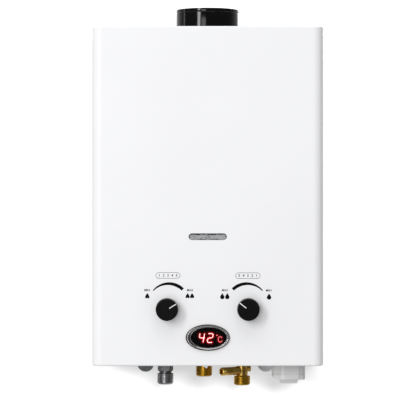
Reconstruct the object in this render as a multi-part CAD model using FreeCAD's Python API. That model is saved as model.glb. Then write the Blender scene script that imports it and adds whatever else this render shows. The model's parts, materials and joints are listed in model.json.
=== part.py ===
"""Wall-hung instantaneous gas water heater, modelled as an assembly of separate pieces.

Frame: millimetres, +Z up, +Y towards the wall, the front faces -Y. The origin is the centre of the
wall face, so the back plate's rear plane is y = 0 and the cover runs from -COVER_H / 2 to
+COVER_H / 2 in z.
Each function makes one sub-part, and main() writes each to parts/NODE.step.
"""

import math
import os

import FreeCAD
import Part

V = FreeCAD.Vector
X_AXIS, Y_AXIS, Z_AXIS = V(1, 0, 0), V(0, 1, 0), V(0, 0, 1)

# ---- driving dimensions --------------------------------------------------------------------------
# casing
COVER_W = 290.0
COVER_H = 426.0
COVER_D = 125.0
TOP = COVER_H / 2
BOTTOM = -COVER_H / 2
FRONT = -COVER_D
SHEET = 1.0  # painted steel of the cover
CORNER_R = 12.0  # the cover's upright front corners
EDGE_R = 2.0  # the cover's top and bottom edges
FLANGE = 12.0  # width of the cover's turned-in bottom flange
WALL_GAP = 2.0  # from the wall to the cover's rear edge
PLATE = 1.2  # galvanised sheet of the back plate
FIT_GAP = 0.3  # clearance between pieces that slide past or into each other
EAR_R = 11.0
EAR_DROP = 16.0  # how far the fixing ears reach below the cover
EAR_X = 78.5  # half the distance between the fixing ears
EAR_SHIFT = -2.6  # how far the pair stands off the middle
EAR_HOLE_R = 3.5
KEYHOLE_HEAD_R = 6.0
KEYHOLE_SLOT_R = 3.0
KEYHOLE_SLOT = 11.0
KEYHOLE_X = 78.5
KEYHOLE_Z = TOP - 28.0
RIB_X = 74.0  # the back plate's two pressed ribs
RIB_W = 11.0
RIB_RISE = 2.0
RIB_LOW, RIB_HIGH = BOTTOM + 30.0, TOP - 62.0
LOUVRE_COUNT = 8
LOUVRE_L = 46.0
LOUVRE_H = 3.6
LOUVRE_PITCH = 11.0
LOUVRE_Z = BOTTOM + 93.0  # lowest louvre

# controls
KNOB_X = 51.0
KNOB_Z = BOTTOM + 71.0
KNOB_R = 14.2
KNOB_L = 17.0
KNOB_GAP = 1.2  # knob skirt to cover
KNOB_DRAFT = 0.6  # how much smaller the knob's face is in radius
KNOB_EDGE_R = 1.0
GAS_POINTER_DEG = -58.0  # from upright, clockwise seen from the front is negative
WATER_POINTER_DEG = 52.0
POINTER_W = 1.7
POINTER_T = 0.5
SPINDLE_R = 4.0
BUSH_R = 8.0  # rubber bush in the cover around each spindle
BUSH_FLANGE_R = 10.5

# display and viewing slot
DISPLAY_Z = BOTTOM + 35.7
BEZEL_A, BEZEL_B = 28.0, 16.8  # half axes of the bezel's outer edge
LENS_A, LENS_B = 22.6, 12.9  # half axes of the lens
BEZEL_PROUD = 3.2
BEZEL_NECK = 2.4  # how far the bezel's neck is inside its outer edge
SLOT_W, SLOT_H = 48.0, 8.4
SLOT_Z = BOTTOM + 162.0
PANE_T = 0.8

# flue
FLUE_R = 40.0
FLUE_WALL = 1.2
FLUE_RISE = 25.0  # above the cover
FLUE_FLANGE_R = 50.0
FLUE_GAP = 2.0  # cover hole to collar
CORE_Y = -62.0  # middle of the flue, the heat exchanger and the pipe fittings

# heat exchanger and combustion chamber
CORE_W, CORE_D = 150.0, 90.0
HOOD_TOP = TOP - 7.0
HOOD_H = 88.0
CORE_TOP = HOOD_TOP - HOOD_H
CHAMBER_BOTTOM = BOTTOM + 148.0
COPPER = 1.0
FIN_COUNT = 22
FIN_T = 0.8
FIN_H = 40.0
FIN_Z = CORE_TOP - 26.0
TUBE_R = 7.5
TUBE_WALL = 1.0
TUBE_PITCH = 21.0
PIPE_R = 6.0
PIPE_WALL = 1.0
HOOD_SHEET = 1.0

# burner
BAR_COUNT = 7
BAR_PITCH = 19.5
BAR_W = 9.0
BAR_D = 76.0
BAR_H = 36.0
VENTURI_R = 5.0
MANIFOLD = 13.0  # side of the square gas manifold
NOZZLE_R = 3.5

# pipe fittings
THREAD_R = 10.4775  # 1/2 inch parallel pipe thread, over the crests
BORE_R = 7.0
GAS_X = -54.1
GAS_END = BOTTOM - 27.4
GAS_THREAD = 14.0
HOT_X = -4.7
HOT_END = BOTTOM - 17.1
HOT_THREAD = 16.0
COLD_X = 43.9
COLD_END = BOTTOM - 28.4
COLD_THREAD = 11.8
HEX_AF = 17.0
CHAMFER = 1.6
DRAIN_R = 5.25
DRAIN_BORE_R = 3.2
DRAIN_L = 34.0
DRAIN_Z = BOTTOM - 10.0
DRAIN_DEG = 38.0  # how far the drain spout turns to the front from straight left

# battery box
CELL_R, CELL_L = 16.6, 61.0
CELL_GAP = 0.5  # all round the cells
BOX_WALL = 3.75  # beside the cells
BOX_W = 2 * (CELL_R + CELL_GAP + BOX_WALL)
BOX_D = BOX_W + 0.3
BOX_FLANGE = 4.0
BOX_CORNER = 6.0
BOX_Y = -63.0
BOX_BOTTOM = BOTTOM - 13.0
BOX_ROOF = 3.0
CONTACT_T = 0.6
CELL_DROP = 1.9  # from the box's lower edge up to the cells
BOX_TOP = BOX_BOTTOM + CELL_DROP + 2 * CELL_L + CONTACT_T + BOX_ROOF
LID_T = 2.2
LID_BOTTOM = BOTTOM - 20.0
LID_GAP = 0.3
LID_PIN_R = 1.5
TAB_W, TAB_DROP = 24.6, 5.0
TAB_TAPER = 1.8  # how much the tab narrows at each side

# ---- sizes that follow ---------------------------------------------------------------------------
INSIDE_FRONT = FRONT + SHEET
WATER_X1 = 77.0  # right face of the water valve
BOX_X = WATER_X1 + 1.15 + BOX_FLANGE + BOX_W / 2
CORE_X0, CORE_X1 = -CORE_W / 2, CORE_W / 2
CORE_Y0, CORE_Y1 = CORE_Y - CORE_D / 2, CORE_Y + CORE_D / 2
PANEL_TOP = BOTTOM + SHEET + FIT_GAP + PLATE  # upper side of the bottom panel
PANEL_BOTTOM = PANEL_TOP - PLATE
PLATE_X = COVER_W / 2 - SHEET - FIT_GAP  # half width of the back plate
PLATE_TOP = TOP - SHEET - FIT_GAP


# ---- helpers -------------------------------------------------------------------------------------
def box(x0, x1, y0, y1, z0, z1):
    return Part.makeBox(x1 - x0, y1 - y0, z1 - z0, V(x0, y0, z0))


def core(x, z):
    """A point in the plane that holds the flue, the heat exchanger's middle and the pipe fittings."""
    return V(x, CORE_Y, z)


def link(x):
    """A point on the axis of the push rod between the two valves."""
    return V(x, LINK_Y, LINK_Z)


def rod(radius, start, end):
    """A cylinder from point start to point end."""
    return Part.makeCylinder(radius, (end - start).Length, start, end - start)


def pipe_ring(outer, inner, start, end):
    return rod(outer, start, end).cut(rod(inner, start, end))


def fuse(*shapes):
    whole = shapes[0]
    for shape in shapes[1:]:
        whole = whole.fuse(shape)
    return whole.removeSplitter()


def cut(whole, *tools):
    for tool in tools:
        whole = whole.cut(tool)
    return whole


def edges_where(shape, test):
    return [edge for edge in shape.Edges if test(edge.BoundBox)]


def upright_edges(shape):
    return edges_where(shape, lambda b: b.XLength < 1e-6 and b.YLength < 1e-6)


def group(shapes):
    return Part.makeCompound(shapes)


def prism(points, depth):
    """The polygon through points, swept along depth."""
    return Part.Face(Part.makePolygon(points + [points[0]])).extrude(depth)


def ellipse_disc(a, b, y0, y1, z):
    """An upright elliptical disc on the centreline, from y0 to y1."""
    curve = Part.Ellipse(V(a, y0, z), V(0, y0, z + b), V(0, y0, z))
    return Part.Face(Part.Wire(curve.toShape())).extrude(V(0, y1 - y0, 0))


def stadium(width, height, y0, y1, z):
    """An upright slot with round ends on the centreline, from y0 to y1."""
    r = height / 2
    half = width / 2 - r
    ends = [rod(r, V(x, y0, z), V(x, y1, z)) for x in (-half, half)]
    return fuse(box(-half, half, y0, y1, z - r, z + r), *ends)


def bent_path(points, radius):
    """A wire through points whose corners are arcs of the given radius."""
    edges = []
    last = points[0]
    for before, corner, after in zip(points, points[1:], points[2:]):
        to_before = (before - corner).normalize()
        to_after = (after - corner).normalize()
        half_turn = (math.pi - to_before.getAngle(to_after)) / 2
        reach = radius * math.tan(half_turn)
        start = corner + to_before * reach
        end = corner + to_after * reach
        inward = (to_before + to_after).normalize()
        middle = corner + inward * (radius / math.cos(half_turn) - radius)
        edges.append(Part.LineSegment(last, start).toShape())
        edges.append(Part.Arc(start, middle, end).toShape())
        last = end
    edges.append(Part.LineSegment(last, points[-1]).toShape())
    return Part.Wire(edges)


def bent_pipe(points, outer, inner, bend):
    """A bent tube along points, its corners rounded to the given bend radius."""
    path = bent_path(points, bend)
    along = points[1] - points[0]
    shells = []
    for radius in (outer, inner):
        profile = Part.Wire(Part.makeCircle(radius, points[0], along))
        shells.append(path.makePipeShell([profile], True, True))
    return shells[0].cut(shells[1])


def hex_prism(across_flats, x, y, z0, z1, turn_deg):
    corner = across_flats / math.sqrt(3)
    angles = [math.radians(turn_deg + 60 * k) for k in range(6)]
    points = [V(x + corner * math.cos(a), y + corner * math.sin(a), z0) for a in angles]
    return prism(points, V(0, 0, z1 - z0))


def screw(head_r, head_t, shank_r, length, at, direction):
    """A pan-head screw: the head's seat is at point at, and the shank runs along direction."""
    along = V(direction).normalize()
    head = rod(head_r, at - along * head_t, at)
    slot = rod(head_r * 0.45, at - along * head_t, at - along * (head_t * 0.45))
    return head.cut(slot).fuse(rod(shank_r, at, at + along * length))


# ---- casing and chassis --------------------------------------------------------------------------
def cover_block(inset, rear):
    """The cover's outside shape, shrunk by inset on every face but the rear."""
    x, y = COVER_W / 2 - inset, FRONT + inset
    block = box(-x, x, y, rear, BOTTOM + inset, TOP - inset)
    corners = [e for e in upright_edges(block) if e.BoundBox.YMax < y + 1]
    block = block.makeFillet(CORNER_R - inset, corners)
    ends = edges_where(block, lambda b: b.ZLength < 1e-6 and b.YMin < rear - 1e-6)
    return block.makeFillet(EDGE_R - inset, ends)


def louvre_slots():
    """Air slots through both sides of the cover."""
    half = COVER_W / 2
    r = LOUVRE_H / 2
    y0, y1 = CORE_Y - LOUVRE_L / 2 + r, CORE_Y + LOUVRE_L / 2 - r
    slots = []
    for k in range(LOUVRE_COUNT):
        z = LOUVRE_Z + k * LOUVRE_PITCH
        slots.append(box(-half - 1, half + 1, y0, y1, z - r, z + r))
        slots += [rod(r, V(-half - 1, y, z), V(half + 1, y, z)) for y in (y0, y1)]
    return slots


COVER_SCREW_R = 1.9
COVER_SCREW_X = COVER_W / 2 - FLANGE / 2
COVER_SCREW_Y = (-80.0, -25.0)
SIDE_SCREW_Y = -7.5
SIDE_SCREW_Z = TOP - 21.0
LUG_X = (-8.4, 1.0)
LUG_TIP_X = -1.1
LUG_DROP = 3.7


def front_cover():
    cover = cover_block(0, -WALL_GAP).cut(cover_block(SHEET, 0))
    flange = COVER_W / 2 - FLANGE
    mouth = box(-flange, flange, FRONT + FLANGE, 0, BOTTOM - 1, BOTTOM + SHEET + 1)
    flue_hole = rod(FLUE_R + FLUE_GAP, core(0, TOP - 10), core(0, TOP + 1))
    tools = [mouth, flue_hole]
    through = (FRONT - 1, INSIDE_FRONT + 1)
    tools += [rod(BUSH_R, V(x, through[0], KNOB_Z), V(x, through[1], KNOB_Z)) for x in (-KNOB_X, KNOB_X)]
    neck = BEZEL_NECK - FIT_GAP
    tools.append(ellipse_disc(BEZEL_A - neck, BEZEL_B - neck, *through, DISPLAY_Z))
    tools.append(stadium(SLOT_W, SLOT_H, *through, SLOT_Z))
    for side in (-1, 1):
        x = side * COVER_SCREW_X
        tools += [rod(COVER_SCREW_R, V(x, y, BOTTOM - 1), V(x, y, BOTTOM + 2)) for y in COVER_SCREW_Y]
        edge = side * COVER_W / 2
        tools.append(rod(COVER_SCREW_R, V(edge + side, SIDE_SCREW_Y, SIDE_SCREW_Z),
                         V(edge - 2 * side, SIDE_SCREW_Y, SIDE_SCREW_Z)))
    cover = cut(cover, *tools, *louvre_slots())
    lug_y = FRONT + FLANGE - SHEET
    lug = prism([V(LUG_X[0], lug_y, BOTTOM), V(LUG_X[1], lug_y, BOTTOM),
                 V(LUG_TIP_X, lug_y, BOTTOM - LUG_DROP)], V(0, SHEET, 0))
    return cover.fuse(lug)


def keyhole(x):
    """A hanging hole: the screw head enters below and the slot runs up to KEYHOLE_Z."""
    low = KEYHOLE_Z - KEYHOLE_SLOT
    head = rod(KEYHOLE_HEAD_R, V(x, -PLATE - 1, low), V(x, 1, low))
    top = rod(KEYHOLE_SLOT_R, V(x, -PLATE - 1, KEYHOLE_Z), V(x, 1, KEYHOLE_Z))
    return fuse(head, top, box(x - KEYHOLE_SLOT_R, x + KEYHOLE_SLOT_R, -PLATE - 1, 1, low, KEYHOLE_Z))


def rib(x, width, y0, y1):
    """A long upright bar with round ends, the shape of the back plate's ribs."""
    r = width / 2
    ends = [rod(r, V(x, y0, z), V(x, y1, z)) for z in (RIB_LOW, RIB_HIGH)]
    return fuse(box(x - r, x + r, y0, y1, RIB_LOW, RIB_HIGH), *ends)


BACK_FLANGE = 13.0
REAR_LIP = 12.0  # height of the bottom panel's rear lip
CHASSIS_SCREW_X = (-112.0, -40.0, 40.0, 66.0)
CHASSIS_SCREW_R = 1.8


def back_plate():
    plate = box(-PLATE_X, PLATE_X, -PLATE, 0, PANEL_BOTTOM, PLATE_TOP)
    flange_z = PANEL_TOP + FIT_GAP
    for side in (-1, 1):
        outer = side * PLATE_X
        inner = side * (PLATE_X - PLATE)
        x0, x1 = sorted((outer, inner))
        plate = plate.fuse(box(x0, x1, -BACK_FLANGE, -PLATE, flange_z, PLATE_TOP))
        ear_z = BOTTOM - EAR_DROP + EAR_R
        x = side * EAR_X + EAR_SHIFT
        ear = box(x - EAR_R, x + EAR_R, -PLATE, 0, ear_z, PANEL_BOTTOM)
        plate = fuse(plate, ear, rod(EAR_R, V(x, -PLATE, ear_z), V(x, 0, ear_z)))
        plate = plate.cut(rod(EAR_HOLE_R, V(x, -PLATE - 1, ear_z), V(x, 1, ear_z)))
        plate = plate.cut(rod(COVER_SCREW_R, V(inner - 2 * side, SIDE_SCREW_Y, SIDE_SCREW_Z),
                              V(outer + side, SIDE_SCREW_Y, SIDE_SCREW_Z)))
    plate = plate.fuse(box(-PLATE_X, PLATE_X, -BACK_FLANGE, -PLATE, PLATE_TOP - PLATE, PLATE_TOP))
    for x in (-RIB_X, RIB_X):
        plate = plate.fuse(rib(x, RIB_W, -PLATE - RIB_RISE, -PLATE))
        plate = plate.cut(rib(x, RIB_W - 2 * PLATE, -RIB_RISE, 0))
    plate = cut(plate, *[keyhole(x) for x in (-KEYHOLE_X, 0, KEYHOLE_X)])
    z = PANEL_TOP + REAR_LIP / 2
    return cut(plate, *[rod(CHASSIS_SCREW_R, V(x, -PLATE - 1, z), V(x, 1, z)) for x in CHASSIS_SCREW_X])


FRONT_LIP_X = 118.0
FRONT_LIP = 8.0
COLUMN_R = 9.0  # the gas inlet where it passes the bottom panel
COLD_COLUMN_R = 7.4


def bottom_panel():
    y0 = INSIDE_FRONT + FIT_GAP
    panel = box(-PLATE_X, PLATE_X, y0, -PLATE, PANEL_BOTTOM, PANEL_TOP)
    corners = [e for e in upright_edges(panel) if e.BoundBox.YMax < y0 + 1]
    panel = panel.makeFillet(CORNER_R - SHEET - FIT_GAP, corners)
    rear = box(-PLATE_X + 8, PLATE_X - 8, -2 * PLATE, -PLATE, PANEL_TOP, PANEL_TOP + REAR_LIP)
    lip = box(-FRONT_LIP_X, FRONT_LIP_X, y0, y0 + PLATE, PANEL_TOP, PANEL_TOP + FRONT_LIP)
    panel = fuse(panel, rear, lip)
    low, high = PANEL_BOTTOM - 1, PANEL_TOP + 1
    holes = [(GAS_X, COLUMN_R + FIT_GAP), (HOT_X, THREAD_R + FIT_GAP), (COLD_X, COLD_COLUMN_R + FIT_GAP)]
    tools = [rod(r, core(x, low), core(x, high)) for x, r in holes]
    tools.append(battery_block(low, high, FIT_GAP))
    z = PANEL_TOP + REAR_LIP / 2
    tools += [rod(CHASSIS_SCREW_R, V(x, -3 * PLATE, z), V(x, 0, z)) for x in CHASSIS_SCREW_X]
    for x in (-COVER_SCREW_X, COVER_SCREW_X):
        tools += [rod(COVER_SCREW_R, V(x, y, low), V(x, y, high)) for y in COVER_SCREW_Y]
    return cut(panel, *tools)


def cover_screws():
    screws = []
    for side in (-1, 1):
        for y in COVER_SCREW_Y:
            screws.append(screw(3.4, 1.8, COVER_SCREW_R, 6.0, V(side * COVER_SCREW_X, y, BOTTOM), Z_AXIS))
        at = V(side * COVER_W / 2, SIDE_SCREW_Y, SIDE_SCREW_Z)
        screws.append(screw(3.4, 1.8, COVER_SCREW_R, 5.0, at, X_AXIS * -side))
    return group(screws)


def chassis_screws():
    z = PANEL_TOP + REAR_LIP / 2
    length = 2 * PLATE - 0.2
    seats = [V(x, -2 * PLATE, z) for x in CHASSIS_SCREW_X]
    return group([screw(3.4, 1.8, CHASSIS_SCREW_R, length, seat, Y_AXIS) for seat in seats])


# ---- flue ----------------------------------------------------------------------------------------
COLLAR_SCREW_R = 1.6
COLLAR_SCREW_PCR = (FLUE_R + FLUE_FLANGE_R) / 2


def collar_screw_points():
    angles = [math.radians(45 + 90 * k) for k in range(4)]
    z = HOOD_TOP + FLUE_WALL
    return [V(COLLAR_SCREW_PCR * math.cos(a), CORE_Y + COLLAR_SCREW_PCR * math.sin(a), z) for a in angles]


def flue_collar():
    base, top = core(0, HOOD_TOP), core(0, TOP + FLUE_RISE)
    flange = rod(FLUE_FLANGE_R, base, base + Z_AXIS * FLUE_WALL)
    collar = flange.fuse(rod(FLUE_R, base, top)).cut(rod(FLUE_R - FLUE_WALL, base, top))
    holes = [rod(COLLAR_SCREW_R, p - Z_AXIS * 3, p + Z_AXIS) for p in collar_screw_points()]
    return cut(collar, *holes)


def collar_screws():
    return group([screw(2.8, 1.5, COLLAR_SCREW_R, 4.5, p, Z_AXIS * -1) for p in collar_screw_points()])


HOOD_MARGIN = 5.0
HOOD_SHOULDER = CORE_TOP + 40.0
HOOD_TOP_X = 56.0


def hood_profile(inset):
    """The hood's outline in x and z, with its walls moved in by inset."""
    x = CORE_X1 + HOOD_MARGIN - inset
    top_x = HOOD_TOP_X - inset * 0.6
    y = CORE_Y0 - HOOD_MARGIN + inset
    low = CORE_TOP - inset
    half = [(x, low), (x, HOOD_SHOULDER - inset * 0.3), (top_x, HOOD_TOP - inset)]
    outline = half + [(-px, pz) for px, pz in reversed(half)]
    depth = CORE_D + 2 * HOOD_MARGIN - 2 * inset
    return prism([V(px, y, pz) for px, pz in outline], V(0, depth, 0))


def draft_hood():
    hood = hood_profile(0).cut(hood_profile(HOOD_SHEET))
    flue = rod(FLUE_R - FLUE_WALL, core(0, HOOD_TOP - 3), core(0, HOOD_TOP + 1))
    holes = [rod(COLLAR_SCREW_R, p - Z_AXIS * 5, p) for p in collar_screw_points()]
    return cut(hood, flue, *holes)


BAFFLE_X = 46.0
BAFFLE_Z = HOOD_TOP - 38.0
BAFFLE_LIP = 8.0


def draft_baffle():
    y0 = CORE_Y0 - HOOD_MARGIN + HOOD_SHEET
    y1 = CORE_Y1 + HOOD_MARGIN - HOOD_SHEET
    t = HOOD_SHEET
    plate = box(-BAFFLE_X, BAFFLE_X, y0, y1, BAFFLE_Z - t, BAFFLE_Z)
    lips = [box(x, x + t, y0, y1, BAFFLE_Z - BAFFLE_LIP, BAFFLE_Z - t) for x in (-BAFFLE_X, BAFFLE_X - t)]
    return fuse(plate, *lips)


# ---- heat exchanger and combustion chamber -------------------------------------------------------
ELECTRODE_X = 44.0
ELECTRODE_Z = CHAMBER_BOTTOM + 13.0
CERAMIC_R = 3.0
PORT_W, PORT_H = 56.0, 15.0  # sight port in the chamber's front wall


def tube_rows():
    """The depth of each straight pass of the exchanger's tube."""
    return [CORE_Y + TUBE_PITCH * (k - 1.5) for k in range(4)]


def heat_exchanger_shell():
    walls = box(CORE_X0, CORE_X1, CORE_Y0, CORE_Y1, CHAMBER_BOTTOM, CORE_TOP)
    m = HOOD_MARGIN
    rim = box(CORE_X0 - m, CORE_X1 + m, CORE_Y0 - m, CORE_Y1 + m, CORE_TOP - COPPER, CORE_TOP)
    c = COPPER
    hollow = box(CORE_X0 + c, CORE_X1 - c, CORE_Y0 + c, CORE_Y1 - c, CHAMBER_BOTTOM - 1, CORE_TOP + 1)
    tools = [hollow]
    tools += [rod(TUBE_R, V(CORE_X0 - 2, y, FIN_Z), V(CORE_X1 + 2, y, FIN_Z)) for y in tube_rows()]
    port_z = SLOT_Z - PORT_H / 2
    tools.append(box(-PORT_W / 2, PORT_W / 2, CORE_Y0 - 1, CORE_Y0 + c + 1, port_z, port_z + PORT_H))
    for x in (-ELECTRODE_X, ELECTRODE_X):
        tools.append(rod(CERAMIC_R, V(x, CORE_Y0 - 1, ELECTRODE_Z), V(x, CORE_Y0 + 2, ELECTRODE_Z)))
    return cut(walls.fuse(rim), *tools)


def heat_exchanger_fins():
    inner = CORE_X1 - COPPER
    pitch = 2 * inner / (FIN_COUNT + 1)
    fins = []
    for k in range(FIN_COUNT):
        x = -inner + pitch * (k + 1) - FIN_T / 2
        fin = box(x, x + FIN_T, CORE_Y0 + COPPER, CORE_Y1 - COPPER, FIN_Z - FIN_H / 2, FIN_Z + FIN_H / 2)
        holes = [rod(TUBE_R, V(x - 1, y, FIN_Z), V(x + 2, y, FIN_Z)) for y in tube_rows()]
        fins.append(cut(fin, *holes))
    return group(fins)


TUBE_END_X = 92.0
BEND_X = CORE_X1 + 16.0


def heat_exchanger_tubes():
    """One tube in four passes, with its two open ends on the right."""
    rows = tube_rows()
    points = [V(TUBE_END_X, rows[0], FIN_Z), V(-BEND_X, rows[0], FIN_Z), V(-BEND_X, rows[1], FIN_Z),
              V(BEND_X, rows[1], FIN_Z), V(BEND_X, rows[2], FIN_Z), V(-BEND_X, rows[2], FIN_Z),
              V(-BEND_X, rows[3], FIN_Z), V(TUBE_END_X, rows[3], FIN_Z)]
    return bent_pipe(points, TUBE_R, TUBE_R - TUBE_WALL, TUBE_PITCH / 2 - 0.2)


BRACKET_T = 1.5
BRACKET_X = 58.0
BRACKET_LEG = 14.0


def exchanger_brackets():
    """Two folded brackets that carry the chamber on the back plate."""
    x, t = BRACKET_X, BRACKET_T
    brackets = []
    for z in (CHAMBER_BOTTOM + 12.0, CORE_TOP - 78.0):
        web = box(-x, x, CORE_Y1, -PLATE, z, z + t)
        rear = box(-x, x, -PLATE - t, -PLATE, z + t, z + BRACKET_LEG)
        front = box(-x, x, CORE_Y1, CORE_Y1 + t, z + t, z + BRACKET_LEG)
        brackets.append(fuse(web, rear, front))
    return brackets


RISER_X = 106.0
PIPE_BEND = 11.0
VALVE_TOP = BOTTOM + 98.0
OUTLET_X = WATER_X1 + 0.5  # end of the outlet boss
OUTLET_NUT = 4.5
OUTLET_Z = VALVE_TOP - 13.0  # the cold pipe leaves the water valve at this height
OUTLET_R = 8.5
HOT_RUN_Z = BOTTOM + 25.0
HOT_PIPE_END = BOTTOM + 7.0


def cold_pipe():
    y = tube_rows()[0]
    points = [V(TUBE_END_X, y, FIN_Z), V(RISER_X, y, FIN_Z),
              V(RISER_X, y, OUTLET_Z), V(OUTLET_X, y, OUTLET_Z)]
    return bent_pipe(points, PIPE_R, PIPE_R - PIPE_WALL, PIPE_BEND)


def hot_pipe():
    y = tube_rows()[3]
    points = [V(TUBE_END_X, y, FIN_Z), V(RISER_X, y, FIN_Z), V(RISER_X, y, HOT_RUN_Z),
              V(HOT_X, y, HOT_RUN_Z), core(HOT_X, HOT_RUN_Z), core(HOT_X, HOT_PIPE_END)]
    return bent_pipe(points, PIPE_R, PIPE_R - PIPE_WALL, PIPE_BEND)


UNION_AF = 21.0
OUTLET_AF = 17.0


def nut_along_x(across_flats, x0, x1, y, z):
    """A hexagonal nut whose axis runs along X, with flats to the front and rear."""
    corner = across_flats / math.sqrt(3)
    angles = [math.radians(30 + 60 * k) for k in range(6)]
    points = [V(x0, y + corner * math.cos(a), z + corner * math.sin(a)) for a in angles]
    return prism(points, V(x1 - x0, 0, 0))


def union_nuts():
    """Brass nuts that join the pipes to the exchanger's tube ends and to the water valve."""
    nuts = []
    for y in (tube_rows()[0], tube_rows()[3]):
        x0, x1 = TUBE_END_X - 8, TUBE_END_X + 3
        nut = nut_along_x(UNION_AF, x0, x1, y, FIN_Z)
        nut = nut.cut(rod(TUBE_R, V(x0 - 1, y, FIN_Z), V(TUBE_END_X, y, FIN_Z)))
        nuts.append(nut.cut(rod(PIPE_R, V(TUBE_END_X, y, FIN_Z), V(x1 + 1, y, FIN_Z))))
    y = tube_rows()[0]
    nut = nut_along_x(OUTLET_AF, OUTLET_X, OUTLET_X + OUTLET_NUT, y, OUTLET_Z)
    nuts.append(nut.cut(rod(PIPE_R, V(OUTLET_X - 1, y, OUTLET_Z), V(OUTLET_X + 2 * OUTLET_NUT, y, OUTLET_Z))))
    return group(nuts)


# ---- burner --------------------------------------------------------------------------------------
BAR_TOP = CHAMBER_BOTTOM - 1.0
BAR_Y0, BAR_Y1 = CORE_Y - BAR_D / 2, CORE_Y + BAR_D / 2
VENTURI_Z = BAR_TOP - 31.0
FRAME_T = 1.5
FRAME_X = 66.0
VENTURI_Y = BAR_Y0 - 6.0
MANIFOLD_Y1 = VENTURI_Y - 3.0
MANIFOLD_Y0 = MANIFOLD_Y1 - MANIFOLD
MANIFOLD_X = 72.0
MANIFOLD_BOTTOM = VENTURI_Z - MANIFOLD / 2


def bar_positions():
    return [BAR_PITCH * (k - (BAR_COUNT - 1) / 2) for k in range(BAR_COUNT)]


def burner_bars():
    bars = []
    for x in bar_positions():
        bar = box(x - BAR_W / 2, x + BAR_W / 2, BAR_Y0, BAR_Y1, BAR_TOP - BAR_H, BAR_TOP)
        top = edges_where(bar, lambda b: b.ZMin > BAR_TOP - 0.1 and b.XLength < 1e-6)
        bar = bar.makeFillet(BAR_W * 0.3, top)
        ports = box(x - 0.9, x + 0.9, BAR_Y0 + 4, BAR_Y1 - 4, BAR_TOP - 4, BAR_TOP + 1)
        venturi = rod(VENTURI_R - 0.6, V(x, VENTURI_Y, VENTURI_Z), V(x, BAR_Y0, VENTURI_Z))
        throat = rod(VENTURI_R - 1.6, V(x, VENTURI_Y - 1, VENTURI_Z), V(x, BAR_Y0 + 20, VENTURI_Z))
        bars.append(bar.cut(ports).fuse(venturi).cut(throat))
    return group(bars)


def burner_frame():
    t = FRAME_T
    low = BAR_TOP - BAR_H - 2
    walls = box(-FRAME_X - t, FRAME_X + t, BAR_Y0 - t, BAR_Y1 + t, low, BAR_TOP)
    rim = box(CORE_X0, CORE_X1, CORE_Y0, CORE_Y1, BAR_TOP, CHAMBER_BOTTOM)
    hollow = box(-FRAME_X, FRAME_X, BAR_Y0, BAR_Y1, low - 1, CHAMBER_BOTTOM + 1)
    arms = [box(x, x + t, MANIFOLD_Y1, BAR_Y0 - t, VENTURI_Z - 6, VENTURI_Z + 6)
            for x in (-FRAME_X - t, FRAME_X)]
    holes = [rod(VENTURI_R - 0.6, V(x, BAR_Y0 - 3, VENTURI_Z), V(x, BAR_Y0 + 1, VENTURI_Z))
             for x in bar_positions()]
    return cut(fuse(walls, rim, *arms), hollow, *holes)


def gas_manifold():
    z0 = MANIFOLD_BOTTOM
    tube = box(-MANIFOLD_X, MANIFOLD_X, MANIFOLD_Y0, MANIFOLD_Y1, z0, z0 + MANIFOLD)
    wall = 1.5
    hollow = box(-MANIFOLD_X + wall, MANIFOLD_X - wall, MANIFOLD_Y0 + wall, MANIFOLD_Y1 - wall,
                 z0 + wall, z0 + MANIFOLD - wall)
    holes = [rod(NOZZLE_R - 1, V(x, MANIFOLD_Y1 - 3, VENTURI_Z), V(x, MANIFOLD_Y1 + 1, VENTURI_Z))
             for x in bar_positions()]
    feed_y = (MANIFOLD_Y0 + MANIFOLD_Y1) / 2
    feed = rod(4, V(-KNOB_X, feed_y, z0 - 1), V(-KNOB_X, feed_y, z0 + 3))
    return cut(tube, hollow, feed, *holes)


def gas_nozzles():
    """Brass jets: a stub in the manifold, a head, and a tip that points into the burner's throat."""
    jets = []
    for x in bar_positions():
        def at(y):
            return V(x, y, VENTURI_Z)
        stub = rod(NOZZLE_R - 1, at(MANIFOLD_Y1 - 1.5), at(MANIFOLD_Y1))
        head = rod(NOZZLE_R, at(MANIFOLD_Y1), at(MANIFOLD_Y1 + 2))
        tip = rod(1.6, at(MANIFOLD_Y1 + 2), at(MANIFOLD_Y1 + 5))
        jets.append(fuse(stub, head, tip).cut(rod(0.6, at(MANIFOLD_Y1 - 2), at(MANIFOLD_Y1 + 6))))
    return group(jets)


# ---- gas side ------------------------------------------------------------------------------------
LINK_Y, LINK_Z = CORE_Y, BOTTOM + 63.0  # the rod between the water valve and the gas valve
GAS_X0, GAS_X1 = -80.0, -25.0
VALVE_Y0, GAS_Y1 = -95.0, -45.0
GAS_Z0, GAS_Z1 = BOTTOM + 43.0, BOTTOM + 93.0
FEED_R = 4.0
FEED_Y = -85.0
FEED_Z = GAS_Z1 + 8.0
POPPET_CAVITY_R = 8.5
POPPET_SEAT_X = -30.0
POPPET_END_X = -60.0
PLUG_R = 8.0
PLUG_Y1 = -74.0
BOSS_R = 9.0
BOSS_Y = -104.0


def threaded_end(x, z0, z1, lead):
    """A pipe thread's outside over its crests, pointing down from z1 to z0, both ends chamfered."""
    small = THREAD_R - CHAMFER * 0.7
    top = Part.makeCone(small, THREAD_R, CHAMFER * 0.7, core(x, z1), V(0, 0, -1))
    body = rod(THREAD_R, core(x, z0 + lead), core(x, z1 - CHAMFER * 0.7))
    tip = Part.makeCone(THREAD_R, THREAD_R - lead, lead, core(x, z0 + lead), V(0, 0, -1))
    return fuse(top, body, tip)


def rounded_block(x0, x1, y0, y1, z0, z1, radius):
    block = box(x0, x1, y0, y1, z0, z1)
    return block.makeFillet(radius, upright_edges(block))


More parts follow.
